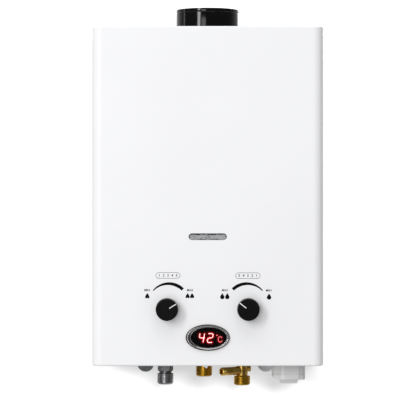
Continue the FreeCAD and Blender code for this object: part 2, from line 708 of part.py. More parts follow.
def gas_valve_body():
    body = rounded_block(GAS_X0, GAS_X1, VALVE_Y0, GAS_Y1, GAS_Z0, GAS_Z1, 4)
    boss = rod(BOSS_R, V(-KNOB_X, VALVE_Y0 + 1, KNOB_Z), V(-KNOB_X, BOSS_Y, KNOB_Z))
    tools = [
        rod(SPINDLE_R + FIT_GAP, V(-KNOB_X, VALVE_Y0 + 2, KNOB_Z), V(-KNOB_X, BOSS_Y - 1, KNOB_Z)),
        rod(PLUG_R + FIT_GAP, V(-KNOB_X, VALVE_Y0 + 1.7, KNOB_Z), V(-KNOB_X, PLUG_Y1 + FIT_GAP, KNOB_Z)),
        rod(POPPET_CAVITY_R, link(POPPET_END_X), link(POPPET_SEAT_X)),
        rod(2.2, link(POPPET_SEAT_X - 1), link(GAS_X1 + 1)),
        rod(3, V(-KNOB_X, PLUG_Y1 - 1, LINK_Z + 5), V(-KNOB_X, LINK_Y - 4, LINK_Z + 5)),
        rod(BORE_R, core(GAS_X, GAS_Z0 - 1), core(GAS_X, LINK_Z - 4)),
        rod(FEED_R - 1, V(-KNOB_X, FEED_Y, KNOB_Z), V(-KNOB_X, FEED_Y, GAS_Z1 + 1)),
    ]
    return cut(body.fuse(boss), *tools)


def gas_feed_pipe():
    """The pipe from the gas valve up to the manifold, with a brazed collar at each end."""
    y = (MANIFOLD_Y0 + MANIFOLD_Y1) / 2
    points = [V(-KNOB_X, FEED_Y, GAS_Z1), V(-KNOB_X, FEED_Y, FEED_Z), V(-KNOB_X, y, FEED_Z),
              V(-KNOB_X, y, MANIFOLD_BOTTOM)]
    pipe = bent_pipe(points, FEED_R, FEED_R - 1, 6.5)
    for foot, end in ((points[0], points[0] + Z_AXIS * 1.2), (points[3] - Z_AXIS * 1.2, points[3])):
        pipe = pipe.fuse(pipe_ring(FEED_R + 2, FEED_R - 1, foot, end))
    return pipe


SOLENOID_R, SOLENOID_L = 9.0, 24.0
SOLENOID_Y = -70.0


def gas_solenoid():
    """The shut-off coil on the gas valve's left face: a steel can with a flange."""
    def at(x):
        return V(x, SOLENOID_Y, LINK_Z + 5)
    end = GAS_X0 - SOLENOID_L
    can = rod(SOLENOID_R, at(end), at(GAS_X0))
    flange = rod(SOLENOID_R + 3, at(GAS_X0 - 2), at(GAS_X0))
    tip = rod(SOLENOID_R / 3, at(end - 3), at(end))
    return fuse(can, flange, tip)


def gas_inlet_nipple():
    hex_top, hex_bottom = PANEL_BOTTOM - 0.8, GAS_END + GAS_THREAD + 2.4
    column = rod(COLUMN_R, core(GAS_X, hex_top), core(GAS_X, GAS_Z0))
    hexagon = hex_prism(HEX_AF, GAS_X, CORE_Y, hex_bottom, hex_top, 0)
    height = hex_top - hex_bottom
    small = HEX_AF / 2 - 0.2
    limit = Part.makeCone(small, small + height, height, core(GAS_X, hex_bottom))
    neck = rod(HEX_AF / 2 - 0.6, core(GAS_X, GAS_END + GAS_THREAD - 1), core(GAS_X, hex_bottom + 1))
    thread = threaded_end(GAS_X, GAS_END, GAS_END + GAS_THREAD, 2.0)
    whole = fuse(column, hexagon.common(limit), neck, thread)
    return whole.cut(rod(BORE_R, core(GAS_X, GAS_END - 1), core(GAS_X, GAS_Z0 + 1)))


POPPET_DISC_X = POPPET_SEAT_X - FIT_GAP
POPPET_T = 2.6
POPPET_TIP_X = -22.0


def gas_poppet():
    disc = rod(7, link(POPPET_DISC_X - POPPET_T), link(POPPET_DISC_X))
    stem = rod(1.8, link(POPPET_DISC_X - 0.5), link(POPPET_TIP_X))
    pilot = rod(3, link(POPPET_DISC_X - POPPET_T - 3), link(POPPET_DISC_X - POPPET_T))
    return fuse(disc, stem, pilot)


def coil(mean_r, wire_r, length, turns, start, direction):
    """A helical spring from start along direction; the wire's ends stay inside the stated length."""
    pitch = (length - 2 * wire_r) / turns
    path = Part.makeHelix(pitch, length - 2 * wire_r, mean_r)
    profile = Part.Wire(Part.makeCircle(wire_r, V(mean_r, 0, 0), V(0, 1, 0)))
    spring = Part.Wire(path.Edges).makePipeShell([profile], True, True)
    turn = FreeCAD.Rotation(Z_AXIS, V(direction))
    spring.Placement = FreeCAD.Placement(V(start) + V(direction).normalize() * wire_r, turn)
    return spring


def poppet_spring():
    x = POPPET_DISC_X - POPPET_T
    return coil(4.6, 0.5, x - POPPET_END_X, 7, link(x), X_AXIS * -1)


FOOT_D = 16.0


def valve_brackets():
    """Two folded plates that stand the valves on the bottom panel."""
    t = BRACKET_T
    places = (
        (GAS_X0, GAS_X0 + 15, GAS_Y1),
        (WATER_X1 - 20, WATER_X1, WATER_Y1),
    )
    brackets = []
    for x0, x1, y in places:
        upright = box(x0, x1, y, y + t, PANEL_TOP, LINK_Z)
        foot = box(x0, x1, y - FOOT_D, y, PANEL_TOP, PANEL_TOP + t)
        brackets.append(fuse(upright, foot))
    return brackets


# ---- water side ----------------------------------------------------------------------------------
WATER_X0 = 36.0
WATER_Y1 = -42.0
WATER_Z0 = BOTTOM + 38.0
CHAMBER_R = 24.0
CHAMBER_CAVITY_R = 20.5
COVER_X0, COVER_X1 = 15.0, 28.0
DIAPHRAGM_T = 1.4
COLD_BORE_R = 5.4


def water_valve_body():
    block = rounded_block(WATER_X0, WATER_X1, VALVE_Y0, WATER_Y1, WATER_Z0, VALVE_TOP, 4)
    x0 = COVER_X1 + DIAPHRAGM_T
    chamber = rod(CHAMBER_R, link(x0), link(WATER_X0 + 4))
    boss = rod(BOSS_R, V(KNOB_X, VALVE_Y0 + 1, KNOB_Z), V(KNOB_X, BOSS_Y, KNOB_Z))
    outlet_y = tube_rows()[0]
    outlet = rod(OUTLET_R, V(WATER_X1 - 15, outlet_y, OUTLET_Z), V(OUTLET_X, outlet_y, OUTLET_Z))
    tools = [
        rod(CHAMBER_CAVITY_R, link(x0 - 1), link(x0 + 7)),
        rod(SPINDLE_R + FIT_GAP, V(KNOB_X, VALVE_Y0 + 2, KNOB_Z), V(KNOB_X, BOSS_Y - 1, KNOB_Z)),
        rod(PLUG_R + FIT_GAP, V(KNOB_X, VALVE_Y0 + 1.7, KNOB_Z), V(KNOB_X, PLUG_Y1 + FIT_GAP, KNOB_Z)),
        rod(COLD_BORE_R, core(COLD_X, WATER_Z0 - 1), core(COLD_X, KNOB_Z + 4)),
        rod(2.5, core(x0 + 5, LINK_Z - 6), core(COLD_X, LINK_Z - 6)),
        rod(3, V(KNOB_X - 2, PLUG_Y1 - 2, KNOB_Z), V(KNOB_X - 2, CORE_Y - 2, KNOB_Z)),
        rod(PIPE_R - PIPE_WALL, V(WATER_X1 - 13, outlet_y, OUTLET_Z), V(OUTLET_X + 1, outlet_y, OUTLET_Z)),
        rod(3, V(KNOB_X + 4, outlet_y + 6, KNOB_Z + 2), V(WATER_X1 - 12, outlet_y, OUTLET_Z)),
    ]
    return cut(fuse(block, chamber, boss, outlet), *tools)


def diaphragm_cover():
    shell = rod(CHAMBER_R, link(COVER_X0), link(COVER_X1))
    shell = shell.cut(rod(CHAMBER_CAVITY_R, link(COVER_X0 + 3), link(COVER_X1 + 1)))
    return shell.cut(rod(2 + FIT_GAP, link(COVER_X0 - 1), link(COVER_X0 + 4)))


def diaphragm():
    start, end = link(COVER_X1), link(COVER_X1 + DIAPHRAGM_T)
    return rod(CHAMBER_R, start, end)


ROD_COLLAR_X = -6.0


def pushrod():
    end = link(COVER_X1 - FIT_GAP)
    plate = rod(CHAMBER_CAVITY_R * 0.7, end - X_AXIS * 1.6, end)
    stem = rod(2, link(POPPET_TIP_X + FIT_GAP), end)
    collar = rod(4, link(ROD_COLLAR_X), link(ROD_COLLAR_X + 2.4))
    return fuse(plate, stem, collar)


SWITCH_Y0, SWITCH_Y1 = LINK_Y - 5.0, LINK_Y + 5.0
SWITCH_X0, SWITCH_X1 = -5.0, 11.0
SWITCH_Z0, SWITCH_Z1 = LINK_Z + 7.0, LINK_Z + 21.0
LEVER_X = -7.2  # the lever's right face
LEVER_T = 0.8
LEVER_PIVOT_Z = LINK_Z + 19.5


def linkage_plate():
    """The plate between the two valves; it carries the flow microswitch."""
    t = BRACKET_T
    low = LINK_Z + 4
    plate = box(GAS_X1, COVER_X0, SWITCH_Y1, SWITCH_Y1 + t, low, low + 16)
    tabs = [box(x, x + t, SWITCH_Y1, SWITCH_Y1 + 12, low, low + 12) for x in (GAS_X1, COVER_X0 - t)]
    pivot = rod(0.9, V(LEVER_X - LEVER_T / 2, SWITCH_Y0 + 1, LEVER_PIVOT_Z),
                V(LEVER_X - LEVER_T / 2, SWITCH_Y1 + 1, LEVER_PIVOT_Z))
    return fuse(plate, *tabs, pivot)


def microswitch():
    body = box(SWITCH_X0, SWITCH_X1, SWITCH_Y0, SWITCH_Y1, SWITCH_Z0, SWITCH_Z1)
    button = box(LEVER_X + FIT_GAP, SWITCH_X0, SWITCH_Y0 + 3, SWITCH_Y1 - 3, SWITCH_Z0 + 2, SWITCH_Z0 + 5)
    return body.fuse(button)


def microswitch_lever():
    x = LEVER_X - LEVER_T / 2
    blade = box(x - LEVER_T / 2, LEVER_X, SWITCH_Y0 + 2, SWITCH_Y1 - 2, LINK_Z + 2.4, LEVER_PIVOT_Z)
    eye = rod(2, V(x, SWITCH_Y0 + 2, LEVER_PIVOT_Z), V(x, SWITCH_Y1 - 2, LEVER_PIVOT_Z))
    hole = rod(0.9 + FIT_GAP, V(x, SWITCH_Y0, LEVER_PIVOT_Z), V(x, SWITCH_Y1, LEVER_PIVOT_Z))
    return blade.fuse(eye).cut(hole)


RELIEF_SEAT = 10.0  # along the spout from the column's centre
RELIEF_NARROW_R = 1.8
SIDE_BOSS_R = 6.0
SIDE_BOSS_X = COLD_X + 11.4
SIDE_BOSS_Z = BOTTOM - 5.3


def spout_point(reach):
    angle = math.radians(DRAIN_DEG)
    return V(COLD_X - reach * math.cos(angle), CORE_Y - reach * math.sin(angle), DRAIN_Z)


def cold_inlet_tee():
    """The brass inlet: a column from the water valve, a threaded end, the drain spout and a boss."""
    thread_top = COLD_END + COLD_THREAD
    column = rod(COLD_COLUMN_R, core(COLD_X, thread_top - 1), core(COLD_X, WATER_Z0))
    thread = threaded_end(COLD_X, COLD_END, thread_top, 1.6)
    boss = rod(SIDE_BOSS_R, core(COLD_X, SIDE_BOSS_Z), core(SIDE_BOSS_X, SIDE_BOSS_Z))
    tip = spout_point(DRAIN_L)
    spout = rod(DRAIN_R, spout_point(0), spout_point(DRAIN_L - 1))
    nose = Part.makeCone(DRAIN_R, DRAIN_R - 1, 1, spout_point(DRAIN_L - 1), tip - spout_point(0))
    tools = [
        rod(BORE_R, core(COLD_X, COLD_END - 1), core(COLD_X, thread_top)),
        rod(COLD_BORE_R, core(COLD_X, thread_top - 1), core(COLD_X, WATER_Z0 + 1)),
        rod(RELIEF_NARROW_R, spout_point(0), spout_point(RELIEF_SEAT + 1)),
        rod(DRAIN_BORE_R, spout_point(RELIEF_SEAT), spout_point(DRAIN_L + 1)),
        rod(2.2, core(SIDE_BOSS_X - 2.4, SIDE_BOSS_Z), core(SIDE_BOSS_X + 1, SIDE_BOSS_Z)),
    ]
    return cut(fuse(column, thread, boss, spout, nose), *tools)


RELIEF_END = 26.0


def relief_poppet():
    start = RELIEF_SEAT + FIT_GAP
    head = rod(DRAIN_BORE_R - FIT_GAP, spout_point(start), spout_point(start + 2))
    return head.fuse(rod(0.9, spout_point(start + 1), spout_point(start + 8)))


def relief_spring():
    start = RELIEF_SEAT + FIT_GAP + 2
    along = spout_point(1) - spout_point(0)
    return coil(2.1, 0.35, RELIEF_END - start, 6, spout_point(start), along)


def relief_seat_ring():
    """The ring pressed into the spout that holds the relief valve's spring."""
    return pipe_ring(DRAIN_BORE_R, 1.5, spout_point(RELIEF_END), spout_point(RELIEF_END + 1.5))


HOT_FLANGE = 7.0
HOT_NECK_R = THREAD_R - 0.8


def hot_outlet_nipple():
    top = PANEL_TOP + HOT_FLANGE
    thread_top = HOT_END + HOT_THREAD
    flange = hex_prism(2 * THREAD_R + 4, HOT_X, CORE_Y, PANEL_TOP, top, 0)
    neck = rod(HOT_NECK_R, core(HOT_X, thread_top), core(HOT_X, PANEL_TOP))
    thread = rod(THREAD_R, core(HOT_X, HOT_END + CHAMFER), core(HOT_X, thread_top))
    tip = Part.makeCone(THREAD_R, THREAD_R - CHAMFER, CHAMFER, core(HOT_X, HOT_END + CHAMFER), V(0, 0, -1))
    low_bore = rod(BORE_R, core(HOT_X, HOT_END - 1), core(HOT_X, HOT_PIPE_END))
    high_bore = rod(PIPE_R, core(HOT_X, HOT_PIPE_END - 1), core(HOT_X, top + 1))
    return cut(fuse(flange, neck, thread, tip), low_bore, high_bore)


# ---- controls ------------------------------------------------------------------------------------
KNOB_REAR = FRONT - KNOB_GAP
KNOB_FACE = KNOB_REAR - KNOB_L
KNOB_SOCKET = 12.5  # how far the spindle reaches into the knob
POINTER_START = 3.7
POINTER_SUNK = 0.3


def pointer_strip(x, turn_deg):
    """The marker line on a knob's face, turned from upright about the knob's centre."""
    y0 = KNOB_FACE + POINTER_SUNK - POINTER_T
    reach = KNOB_R - KNOB_DRAFT - 0.4
    strip = box(x - POINTER_W / 2, x + POINTER_W / 2, y0, KNOB_FACE + POINTER_SUNK,
                KNOB_Z + POINTER_START, KNOB_Z + reach)
    return strip.rotate(V(x, 0, KNOB_Z), V(0, -1, 0), turn_deg)


def spindle_section(x, radius, y0, y1):
    """A round shaft with a flat on its upper side."""
    shaft = rod(radius, V(x, y0, KNOB_Z), V(x, y1, KNOB_Z))
    flat_z = KNOB_Z + radius * 0.7
    return shaft.cut(box(x - radius, x + radius, y0 - 1, y1 + 1, flat_z, KNOB_Z + radius + 1))


def knob(x, turn_deg):
    body = Part.makeCone(KNOB_R, KNOB_R - KNOB_DRAFT, KNOB_L, V(x, KNOB_REAR, KNOB_Z), V(0, -1, 0))
    face = edges_where(body, lambda b: b.YMax < KNOB_FACE + 0.1 and b.XLength > 1)
    body = body.makeFillet(KNOB_EDGE_R, face)
    hollow = rod(KNOB_R - 2.4, V(x, KNOB_REAR - 7, KNOB_Z), V(x, KNOB_REAR + 1, KNOB_Z))
    hub = rod(SPINDLE_R + 2, V(x, KNOB_REAR - 8, KNOB_Z), V(x, KNOB_REAR - 1, KNOB_Z))
    socket = spindle_section(x, SPINDLE_R, KNOB_REAR - KNOB_SOCKET - 0.5, KNOB_REAR + 1)
    body = body.cut(hollow).fuse(hub).cut(socket)
    return body.cut(pointer_strip(x, turn_deg))


def spindle(x):
    """A knob's shaft with the valve plug on its inner end."""
    front = spindle_section(x, SPINDLE_R, KNOB_REAR - KNOB_SOCKET, KNOB_REAR + 8)
    shaft = rod(SPINDLE_R, V(x, KNOB_REAR + 7, KNOB_Z), V(x, VALVE_Y0 + 3, KNOB_Z))
    plug = rod(PLUG_R, V(x, VALVE_Y0 + 2, KNOB_Z), V(x, PLUG_Y1, KNOB_Z))
    port = box(x - 1.5, x + 1.5, VALVE_Y0 + 6, PLUG_Y1 - 3, KNOB_Z - PLUG_R, KNOB_Z + PLUG_R)
    return fuse(front, shaft, plug.cut(port))


def knob_bushes():
    """Rubber sleeves that close the cover's holes around the spindles."""
    bushes = []
    for x in (-KNOB_X, KNOB_X):
        def at(y):
            return V(x, y, KNOB_Z)
        sleeve = rod(BUSH_R, at(FRONT - 0.8), at(INSIDE_FRONT + 0.8))
        lips = [rod(BUSH_FLANGE_R, at(y), at(y + 0.8)) for y in (FRONT - 0.8, INSIDE_FRONT)]
        bore = rod(SPINDLE_R + FIT_GAP, at(FRONT - 2), at(INSIDE_FRONT + 2))
        bushes.append(fuse(sleeve, *lips).cut(bore))
    return group(bushes)


# ---- display and viewing slot --------------------------------------------------------------------
LENS_FRONT = FRONT - 1.6
LENS_REAR = FRONT - 0.2
MODULE_FRONT = FRONT + 0.6
HOUSING_REAR = FRONT + 19.0
HOUSING_X, HOUSING_Z = 32.0, 20.0
HOUSING_WALL = 1.5
BOARD_FRONT = FRONT + 10.0
BOARD_T = 1.6


def display_bezel():
    front = FRONT - BEZEL_PROUD
    ring = ellipse_disc(BEZEL_A, BEZEL_B, front, FRONT, DISPLAY_Z)
    ring = ring.makeFillet(1.4, edges_where(ring, lambda b: b.YMax < front + 0.1 and b.XLength > 1))
    neck_a, neck_b = BEZEL_A - BEZEL_NECK, BEZEL_B - BEZEL_NECK
    neck = ellipse_disc(neck_a, neck_b, FRONT - 0.5, INSIDE_FRONT + 1.5, DISPLAY_Z)
    whole = ring.fuse(neck)
    step = 1.2
    opening = ellipse_disc(LENS_A - step, LENS_B - step, LENS_REAR - 1, 0, DISPLAY_Z)
    seat = ellipse_disc(LENS_A, LENS_B, front - 1, LENS_REAR, DISPLAY_Z)
    return cut(whole, seat, opening)


def display_lens():
    return ellipse_disc(LENS_A, LENS_B, LENS_FRONT, LENS_REAR, DISPLAY_Z)


def display_module():
    """The black display block with its circuit board behind it."""
    block = ellipse_disc(LENS_A - 1.6, LENS_B - 1.6, MODULE_FRONT, BOARD_FRONT, DISPLAY_Z)
    wall = HOUSING_WALL + FIT_GAP
    board = box(-HOUSING_X + wall, HOUSING_X - wall, BOARD_FRONT, BOARD_FRONT + BOARD_T,
                DISPLAY_Z - HOUSING_Z + wall, DISPLAY_Z + HOUSING_Z - wall)
    back = HOUSING_REAR - HOUSING_WALL
    posts = [rod(2, V(x, BOARD_FRONT + BOARD_T, DISPLAY_Z), V(x, back, DISPLAY_Z)) for x in (-24, 24)]
    return fuse(block, board, *posts)


def display_housing():
    outer = rounded_block(-HOUSING_X, HOUSING_X, INSIDE_FRONT, HOUSING_REAR,
                          DISPLAY_Z - HOUSING_Z, DISPLAY_Z + HOUSING_Z, 0.5)
    wall = HOUSING_WALL
    inner = box(-HOUSING_X + wall, HOUSING_X - wall, INSIDE_FRONT - 1, HOUSING_REAR - wall,
                DISPLAY_Z - HOUSING_Z + wall, DISPLAY_Z + HOUSING_Z - wall)
    return outer.cut(inner)


PANE_X, PANE_Z = SLOT_W / 2 + 5, SLOT_H / 2 + 5


def window_pane():
    return box(-PANE_X, PANE_X, INSIDE_FRONT, INSIDE_FRONT + PANE_T, SLOT_Z - PANE_Z, SLOT_Z + PANE_Z)


def pane_retainer():
    """The spring-steel frame that holds the pane against the cover's inner face."""
    x, z, y = PANE_X + 3, PANE_Z + 3, INSIDE_FRONT
    frame = box(-x, x, y, y + PANE_T + 0.8, SLOT_Z - z, SLOT_Z + z)
    pocket = box(-PANE_X, PANE_X, y - 1, y + PANE_T, SLOT_Z - PANE_Z, SLOT_Z + PANE_Z)
    view = stadium(SLOT_W + 4, SLOT_H + 4, y - 1, y + 3, SLOT_Z)
    return cut(frame, pocket, view)


# ---- ignition ------------------------------------------------------------------------------------
CONTROLLER_X = (-135.0, -90.0)
CONTROLLER_FRONT = -45.0
CONTROLLER_Z = (BOTTOM + 17.0, BOTTOM + 103.0)
CONTROLLER_WALL = 2.0


def controller_box():
    """The ignition controller's plastic case, with vents in its lid and a socket in its floor."""
    x0, x1 = CONTROLLER_X
    z0, z1 = CONTROLLER_Z
    wall = CONTROLLER_WALL
    body = rounded_block(x0, x1, CONTROLLER_FRONT, -PLATE, z0, z1, 3)
    hollow = box(x0 + wall, x1 - wall, CONTROLLER_FRONT + wall, -PLATE - wall, z0 + wall, z1 - wall)
    vents = [box(x0 + 15, x1 - 15, CONTROLLER_FRONT - 1, CONTROLLER_FRONT + wall + 1, z, z + 2)
             for z in (z0 + 11, z0 + 18, z0 + 25)]
    socket = box(x0 + 13, x1 - 13, CONTROLLER_FRONT + 5, CONTROLLER_FRONT + 20, z0 - 1, z0 + wall + 1)
    return cut(body, hollow, socket, *vents)


WIRE_R = 0.8
CERAMIC_OUT, CERAMIC_IN = 10.0, 7.0  # the sleeve's reach on each side of the chamber's front wall
WIRE_REACH = 21.5


def electrodes():
    """A spark electrode and a flame sensor: each is a ceramic sleeve and a bent wire."""
    rods = []
    for x in (-ELECTRODE_X, ELECTRODE_X):
        def at(depth, z=ELECTRODE_Z):
            return V(x, CORE_Y0 + depth, z)
        sleeve = rod(CERAMIC_R, at(-CERAMIC_OUT), at(CERAMIC_IN))
        collar = rod(CERAMIC_R + 2.5, at(-2.5), at(0))
        wire = rod(WIRE_R, at(CERAMIC_IN - 1), at(WIRE_REACH + WIRE_R))
        tip = rod(WIRE_R, at(WIRE_REACH), at(WIRE_REACH, ELECTRODE_Z - 8))
        rods.append(fuse(sleeve, collar, wire, tip))
    return group(rods)


CUTOUT_R, CUTOUT_T = 8.0, 7.0


def overheat_cutout():
    """A disc thermostat on the chamber's left wall."""
    x, z = CORE_X0, CORE_TOP - 60.0
    disc = rod(CUTOUT_R, core(x - CUTOUT_T, z), core(x, z))
    ears = box(x - 1, x, CORE_Y - 14, CORE_Y + 14, z - 4, z + 4)
    tags = [box(x - 2 * CUTOUT_T, x - CUTOUT_T, y, y + 3, z - 0.4, z + 0.4) for y in (CORE_Y - 5, CORE_Y + 2)]
    return fuse(disc, ears, *tags)


# ---- battery box ---------------------------------------------------------------------------------
HINGE_Y = BOX_Y + BOX_D / 2 + 3.4
HINGE_Z = BOX_BOTTOM + 3.5
HINGE_R = 3.0
HINGE_X = 9.0  # half width of the lid's barrel
BOX_EAR_X = 14.0
LID_CHAMFER_X, LID_CHAMFER_Z = 5.0, 3.3
LID_TOP = BOX_BOTTOM - LID_GAP


def hinge_rod(radius):
    return rod(radius, V(BOX_X - BOX_EAR_X, HINGE_Y, HINGE_Z), V(BOX_X + BOX_EAR_X, HINGE_Y, HINGE_Z))


def lid_pin():
    return hinge_rod(LID_PIN_R)


def battery_block(z0, z1, gap):
    x, y = BOX_W / 2 + gap, BOX_D / 2 + gap
    return rounded_block(BOX_X - x, BOX_X + x, BOX_Y - y, BOX_Y + y, z0, z1, BOX_CORNER)


def cell_height():
    """The lower end of the two cells, which reach up to the top contact."""
    return BOX_BOTTOM + CELL_DROP


def battery_box():
    body = battery_block(BOX_BOTTOM, BOX_TOP, 0)
    x, y = BOX_W / 2 + BOX_FLANGE, BOX_D / 2 + BOX_FLANGE
    flange = box(BOX_X - x, BOX_X + x, BOX_Y - y, BOX_Y + y, PANEL_TOP, PANEL_TOP + 2)
    body = body.fuse(flange)
    for side in (-1, 1):
        near, far = side * (HINGE_X + 0.4), side * BOX_EAR_X
        x0, x1 = BOX_X + min(near, far), BOX_X + max(near, far)
        arm = box(x0, x1, BOX_Y + BOX_D / 2 - 1, HINGE_Y, HINGE_Z - HINGE_R * 0.8, HINGE_Z + HINGE_R)
        body = fuse(body, arm, rod(HINGE_R, V(x0, HINGE_Y, HINGE_Z), V(x1, HINGE_Y, HINGE_Z)))
    cavity = rod(CELL_R + CELL_GAP, V(BOX_X, BOX_Y, BOX_BOTTOM - 1), V(BOX_X, BOX_Y, BOX_TOP - BOX_ROOF))
    return cut(body, cavity, lid_pin())


def battery_lid():
    block = battery_block(LID_BOTTOM, LID_TOP, 0)
    x0 = BOX_X - BOX_W / 2
    front = BOX_Y - BOX_D / 2 - 1
    wedge = prism([V(x0 - 1, front, LID_BOTTOM - 1), V(x0 + LID_CHAMFER_X + 1, front, LID_BOTTOM - 1),
                   V(x0 + LID_CHAMFER_X, front, LID_BOTTOM), V(x0, front, LID_BOTTOM + LID_CHAMFER_Z),
                   V(x0 - 1, front, LID_BOTTOM + LID_CHAMFER_Z)], V(0, BOX_D + 2, 0))
    inner_r = CELL_R + CELL_GAP
    dish = rod(inner_r, V(BOX_X, BOX_Y, LID_BOTTOM + LID_T), V(BOX_X, BOX_Y, LID_TOP + 1))
    lid = cut(block, wedge, dish)
    tab_y = BOX_Y - BOX_D / 2
    outline = [(-TAB_W / 2, LID_BOTTOM), (TAB_W / 2, LID_BOTTOM),
               (TAB_W / 2 - TAB_TAPER, LID_BOTTOM - TAB_DROP), (TAB_TAPER - TAB_W / 2, LID_BOTTOM - TAB_DROP)]
    tab = prism([V(BOX_X + x, tab_y + 1.5, z) for x, z in outline], V(0, 3.5, 0))
    rear = BOX_Y + BOX_D / 2
    arm = box(BOX_X - HINGE_X, BOX_X + HINGE_X, rear - 2, HINGE_Y + HINGE_R - 1,
              LID_BOTTOM + 1, LID_BOTTOM + 4)
    leg = box(BOX_X - HINGE_X, BOX_X + HINGE_X, HINGE_Y - 1, HINGE_Y + HINGE_R - 1, LID_BOTTOM + 1, HINGE_Z)
    barrel = rod(HINGE_R, V(BOX_X - HINGE_X, HINGE_Y, HINGE_Z), V(BOX_X + HINGE_X, HINGE_Y, HINGE_Z))
    return fuse(lid, tab, arm, leg, barrel).cut(hinge_rod(LID_PIN_R + FIT_GAP))


def battery_cells():
    cells = []
    for k in range(2):
        z = cell_height() + k * CELL_L
        can = rod(CELL_R, V(BOX_X, BOX_Y, z), V(BOX_X, BOX_Y, z + CELL_L - 1.5))
        cells.append(can.fuse(rod(4.75, V(BOX_X, BOX_Y, z + CELL_L - 1.5), V(BOX_X, BOX_Y, z + CELL_L))))
    return group(cells)


def top_contact():
    z = BOX_TOP - BOX_ROOF
    return box(BOX_X - 8, BOX_X + 8, BOX_Y - 8, BOX_Y + 8, z - CONTACT_T, z)


def lid_contact():
    """The stamped contact on the lid: a plate with a raised cup that meets the lower cell."""
    z0 = LID_BOTTOM + LID_T
    plate = rod(10, V(BOX_X, BOX_Y, z0), V(BOX_X, BOX_Y, z0 + CONTACT_T))
    height = cell_height() - FIT_GAP - z0
    return plate.fuse(Part.makeCone(7, 3, height, V(BOX_X, BOX_Y, z0), V(0, 0, 1)))


def main():
    pieces = {
        "front_cover": front_cover(),
        "back_plate": back_plate(),
        "bottom_panel": bottom_panel(),
        "cover_screws": cover_screws(),
        "chassis_screws": chassis_screws(),
        "flue_collar": flue_collar(),
        "collar_screws": collar_screws(),
        "draft_hood": draft_hood(),
        "draft_baffle": draft_baffle(),
        "heat_exchanger_shell": heat_exchanger_shell(),
        "heat_exchanger_fins": heat_exchanger_fins(),
        "heat_exchanger_tubes": heat_exchanger_tubes(),
        "chassis_brackets": group(exchanger_brackets() + valve_brackets()),
        "cold_pipe": cold_pipe(),
        "hot_pipe": hot_pipe(),
        "union_nuts": union_nuts(),
        "burner_bars": burner_bars(),
        "burner_frame": burner_frame(),
        "gas_manifold": gas_manifold(),
        "gas_nozzles": gas_nozzles(),
        "gas_valve_body": gas_valve_body(),
        "gas_feed_pipe": gas_feed_pipe(),
        "gas_solenoid": gas_solenoid(),
        "gas_inlet_nipple": gas_inlet_nipple(),
        "gas_poppet": gas_poppet(),
        "poppet_spring": poppet_spring(),
        "water_valve_body": water_valve_body(),
        "diaphragm_cover": diaphragm_cover(),
        "diaphragm": diaphragm(),
        "pushrod": pushrod(),
        "linkage_plate": linkage_plate(),
        "microswitch": microswitch(),
        "microswitch_lever": microswitch_lever(),
        "cold_inlet_tee": cold_inlet_tee(),
        "relief_poppet": relief_poppet(),
        "relief_spring": relief_spring(),
        "relief_seat_ring": relief_seat_ring(),
        "hot_outlet_nipple": hot_outlet_nipple(),
        "gas_knob": knob(-KNOB_X, GAS_POINTER_DEG),
        "gas_pointer": pointer_strip(-KNOB_X, GAS_POINTER_DEG),
        "gas_spindle": spindle(-KNOB_X),
        "water_knob": knob(KNOB_X, WATER_POINTER_DEG),
        "water_pointer": pointer_strip(KNOB_X, WATER_POINTER_DEG),
        "water_spindle": spindle(KNOB_X),
        "knob_bushes": knob_bushes(),
        "display_bezel": display_bezel(),
        "display_lens": display_lens(),
        "display_module": display_module(),
        "display_housing": display_housing(),
        "window_pane": window_pane(),
        "pane_retainer": pane_retainer(),
        "controller_box": controller_box(),
        "electrodes": electrodes(),
        "overheat_cutout": overheat_cutout(),
        "battery_box": battery_box(),
        "battery_lid": battery_lid(),
        "lid_pin": lid_pin(),
        "battery_cells": battery_cells(),
        "top_contact": top_contact(),
        "lid_contact": lid_contact(),
    }
    os.makedirs("parts", exist_ok=True)
    for name, shape in pieces.items():
        shape.exportStep(f"parts/{name}.step")
        print(name, len(shape.Solids), round(shape.Volume, 1), shape.isValid())


main()
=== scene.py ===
import json
import math

import bmesh
import bpy
from mathutils import Matrix, Vector

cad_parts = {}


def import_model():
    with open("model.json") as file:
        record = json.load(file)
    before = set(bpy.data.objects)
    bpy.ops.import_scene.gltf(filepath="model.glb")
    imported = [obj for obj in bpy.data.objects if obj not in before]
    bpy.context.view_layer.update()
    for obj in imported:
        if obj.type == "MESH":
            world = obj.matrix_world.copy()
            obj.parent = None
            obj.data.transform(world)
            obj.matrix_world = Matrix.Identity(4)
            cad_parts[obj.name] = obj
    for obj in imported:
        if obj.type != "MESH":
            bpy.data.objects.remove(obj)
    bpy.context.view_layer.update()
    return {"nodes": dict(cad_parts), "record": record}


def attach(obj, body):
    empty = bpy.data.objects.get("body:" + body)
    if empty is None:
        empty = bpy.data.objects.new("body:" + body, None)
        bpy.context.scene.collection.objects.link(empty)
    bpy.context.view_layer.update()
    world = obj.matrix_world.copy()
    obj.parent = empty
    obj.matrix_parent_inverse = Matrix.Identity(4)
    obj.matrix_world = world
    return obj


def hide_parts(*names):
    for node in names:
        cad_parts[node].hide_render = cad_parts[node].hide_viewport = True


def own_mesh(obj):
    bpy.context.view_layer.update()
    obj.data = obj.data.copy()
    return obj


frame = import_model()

MM = 0.001

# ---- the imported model's measures that the visual pieces share, in millimetres ----
FRONT = -125.0  # the cover's front face
BOTTOM = -213.0  # the cover's lower edge
CORE_Y = -62.0  # the flue and the three pipe fittings stand this far out from the wall
PANEL_TOP = -210.5  # the bottom panel's upper side, on which the hot outlet's flange rests
KNOB_X, KNOB_Z = 51.0, -142.0
DISPLAY_Z = -177.3

# ---- the camera and the picture's frame ----
CAMERA = (0.00038, -2.962, -0.01504)  # metres
LENS_MM = 196.0
PX = 1.2532  # millimetres on the cover's front to one pixel of the picture's frame
PX_CENTRE = 208.0


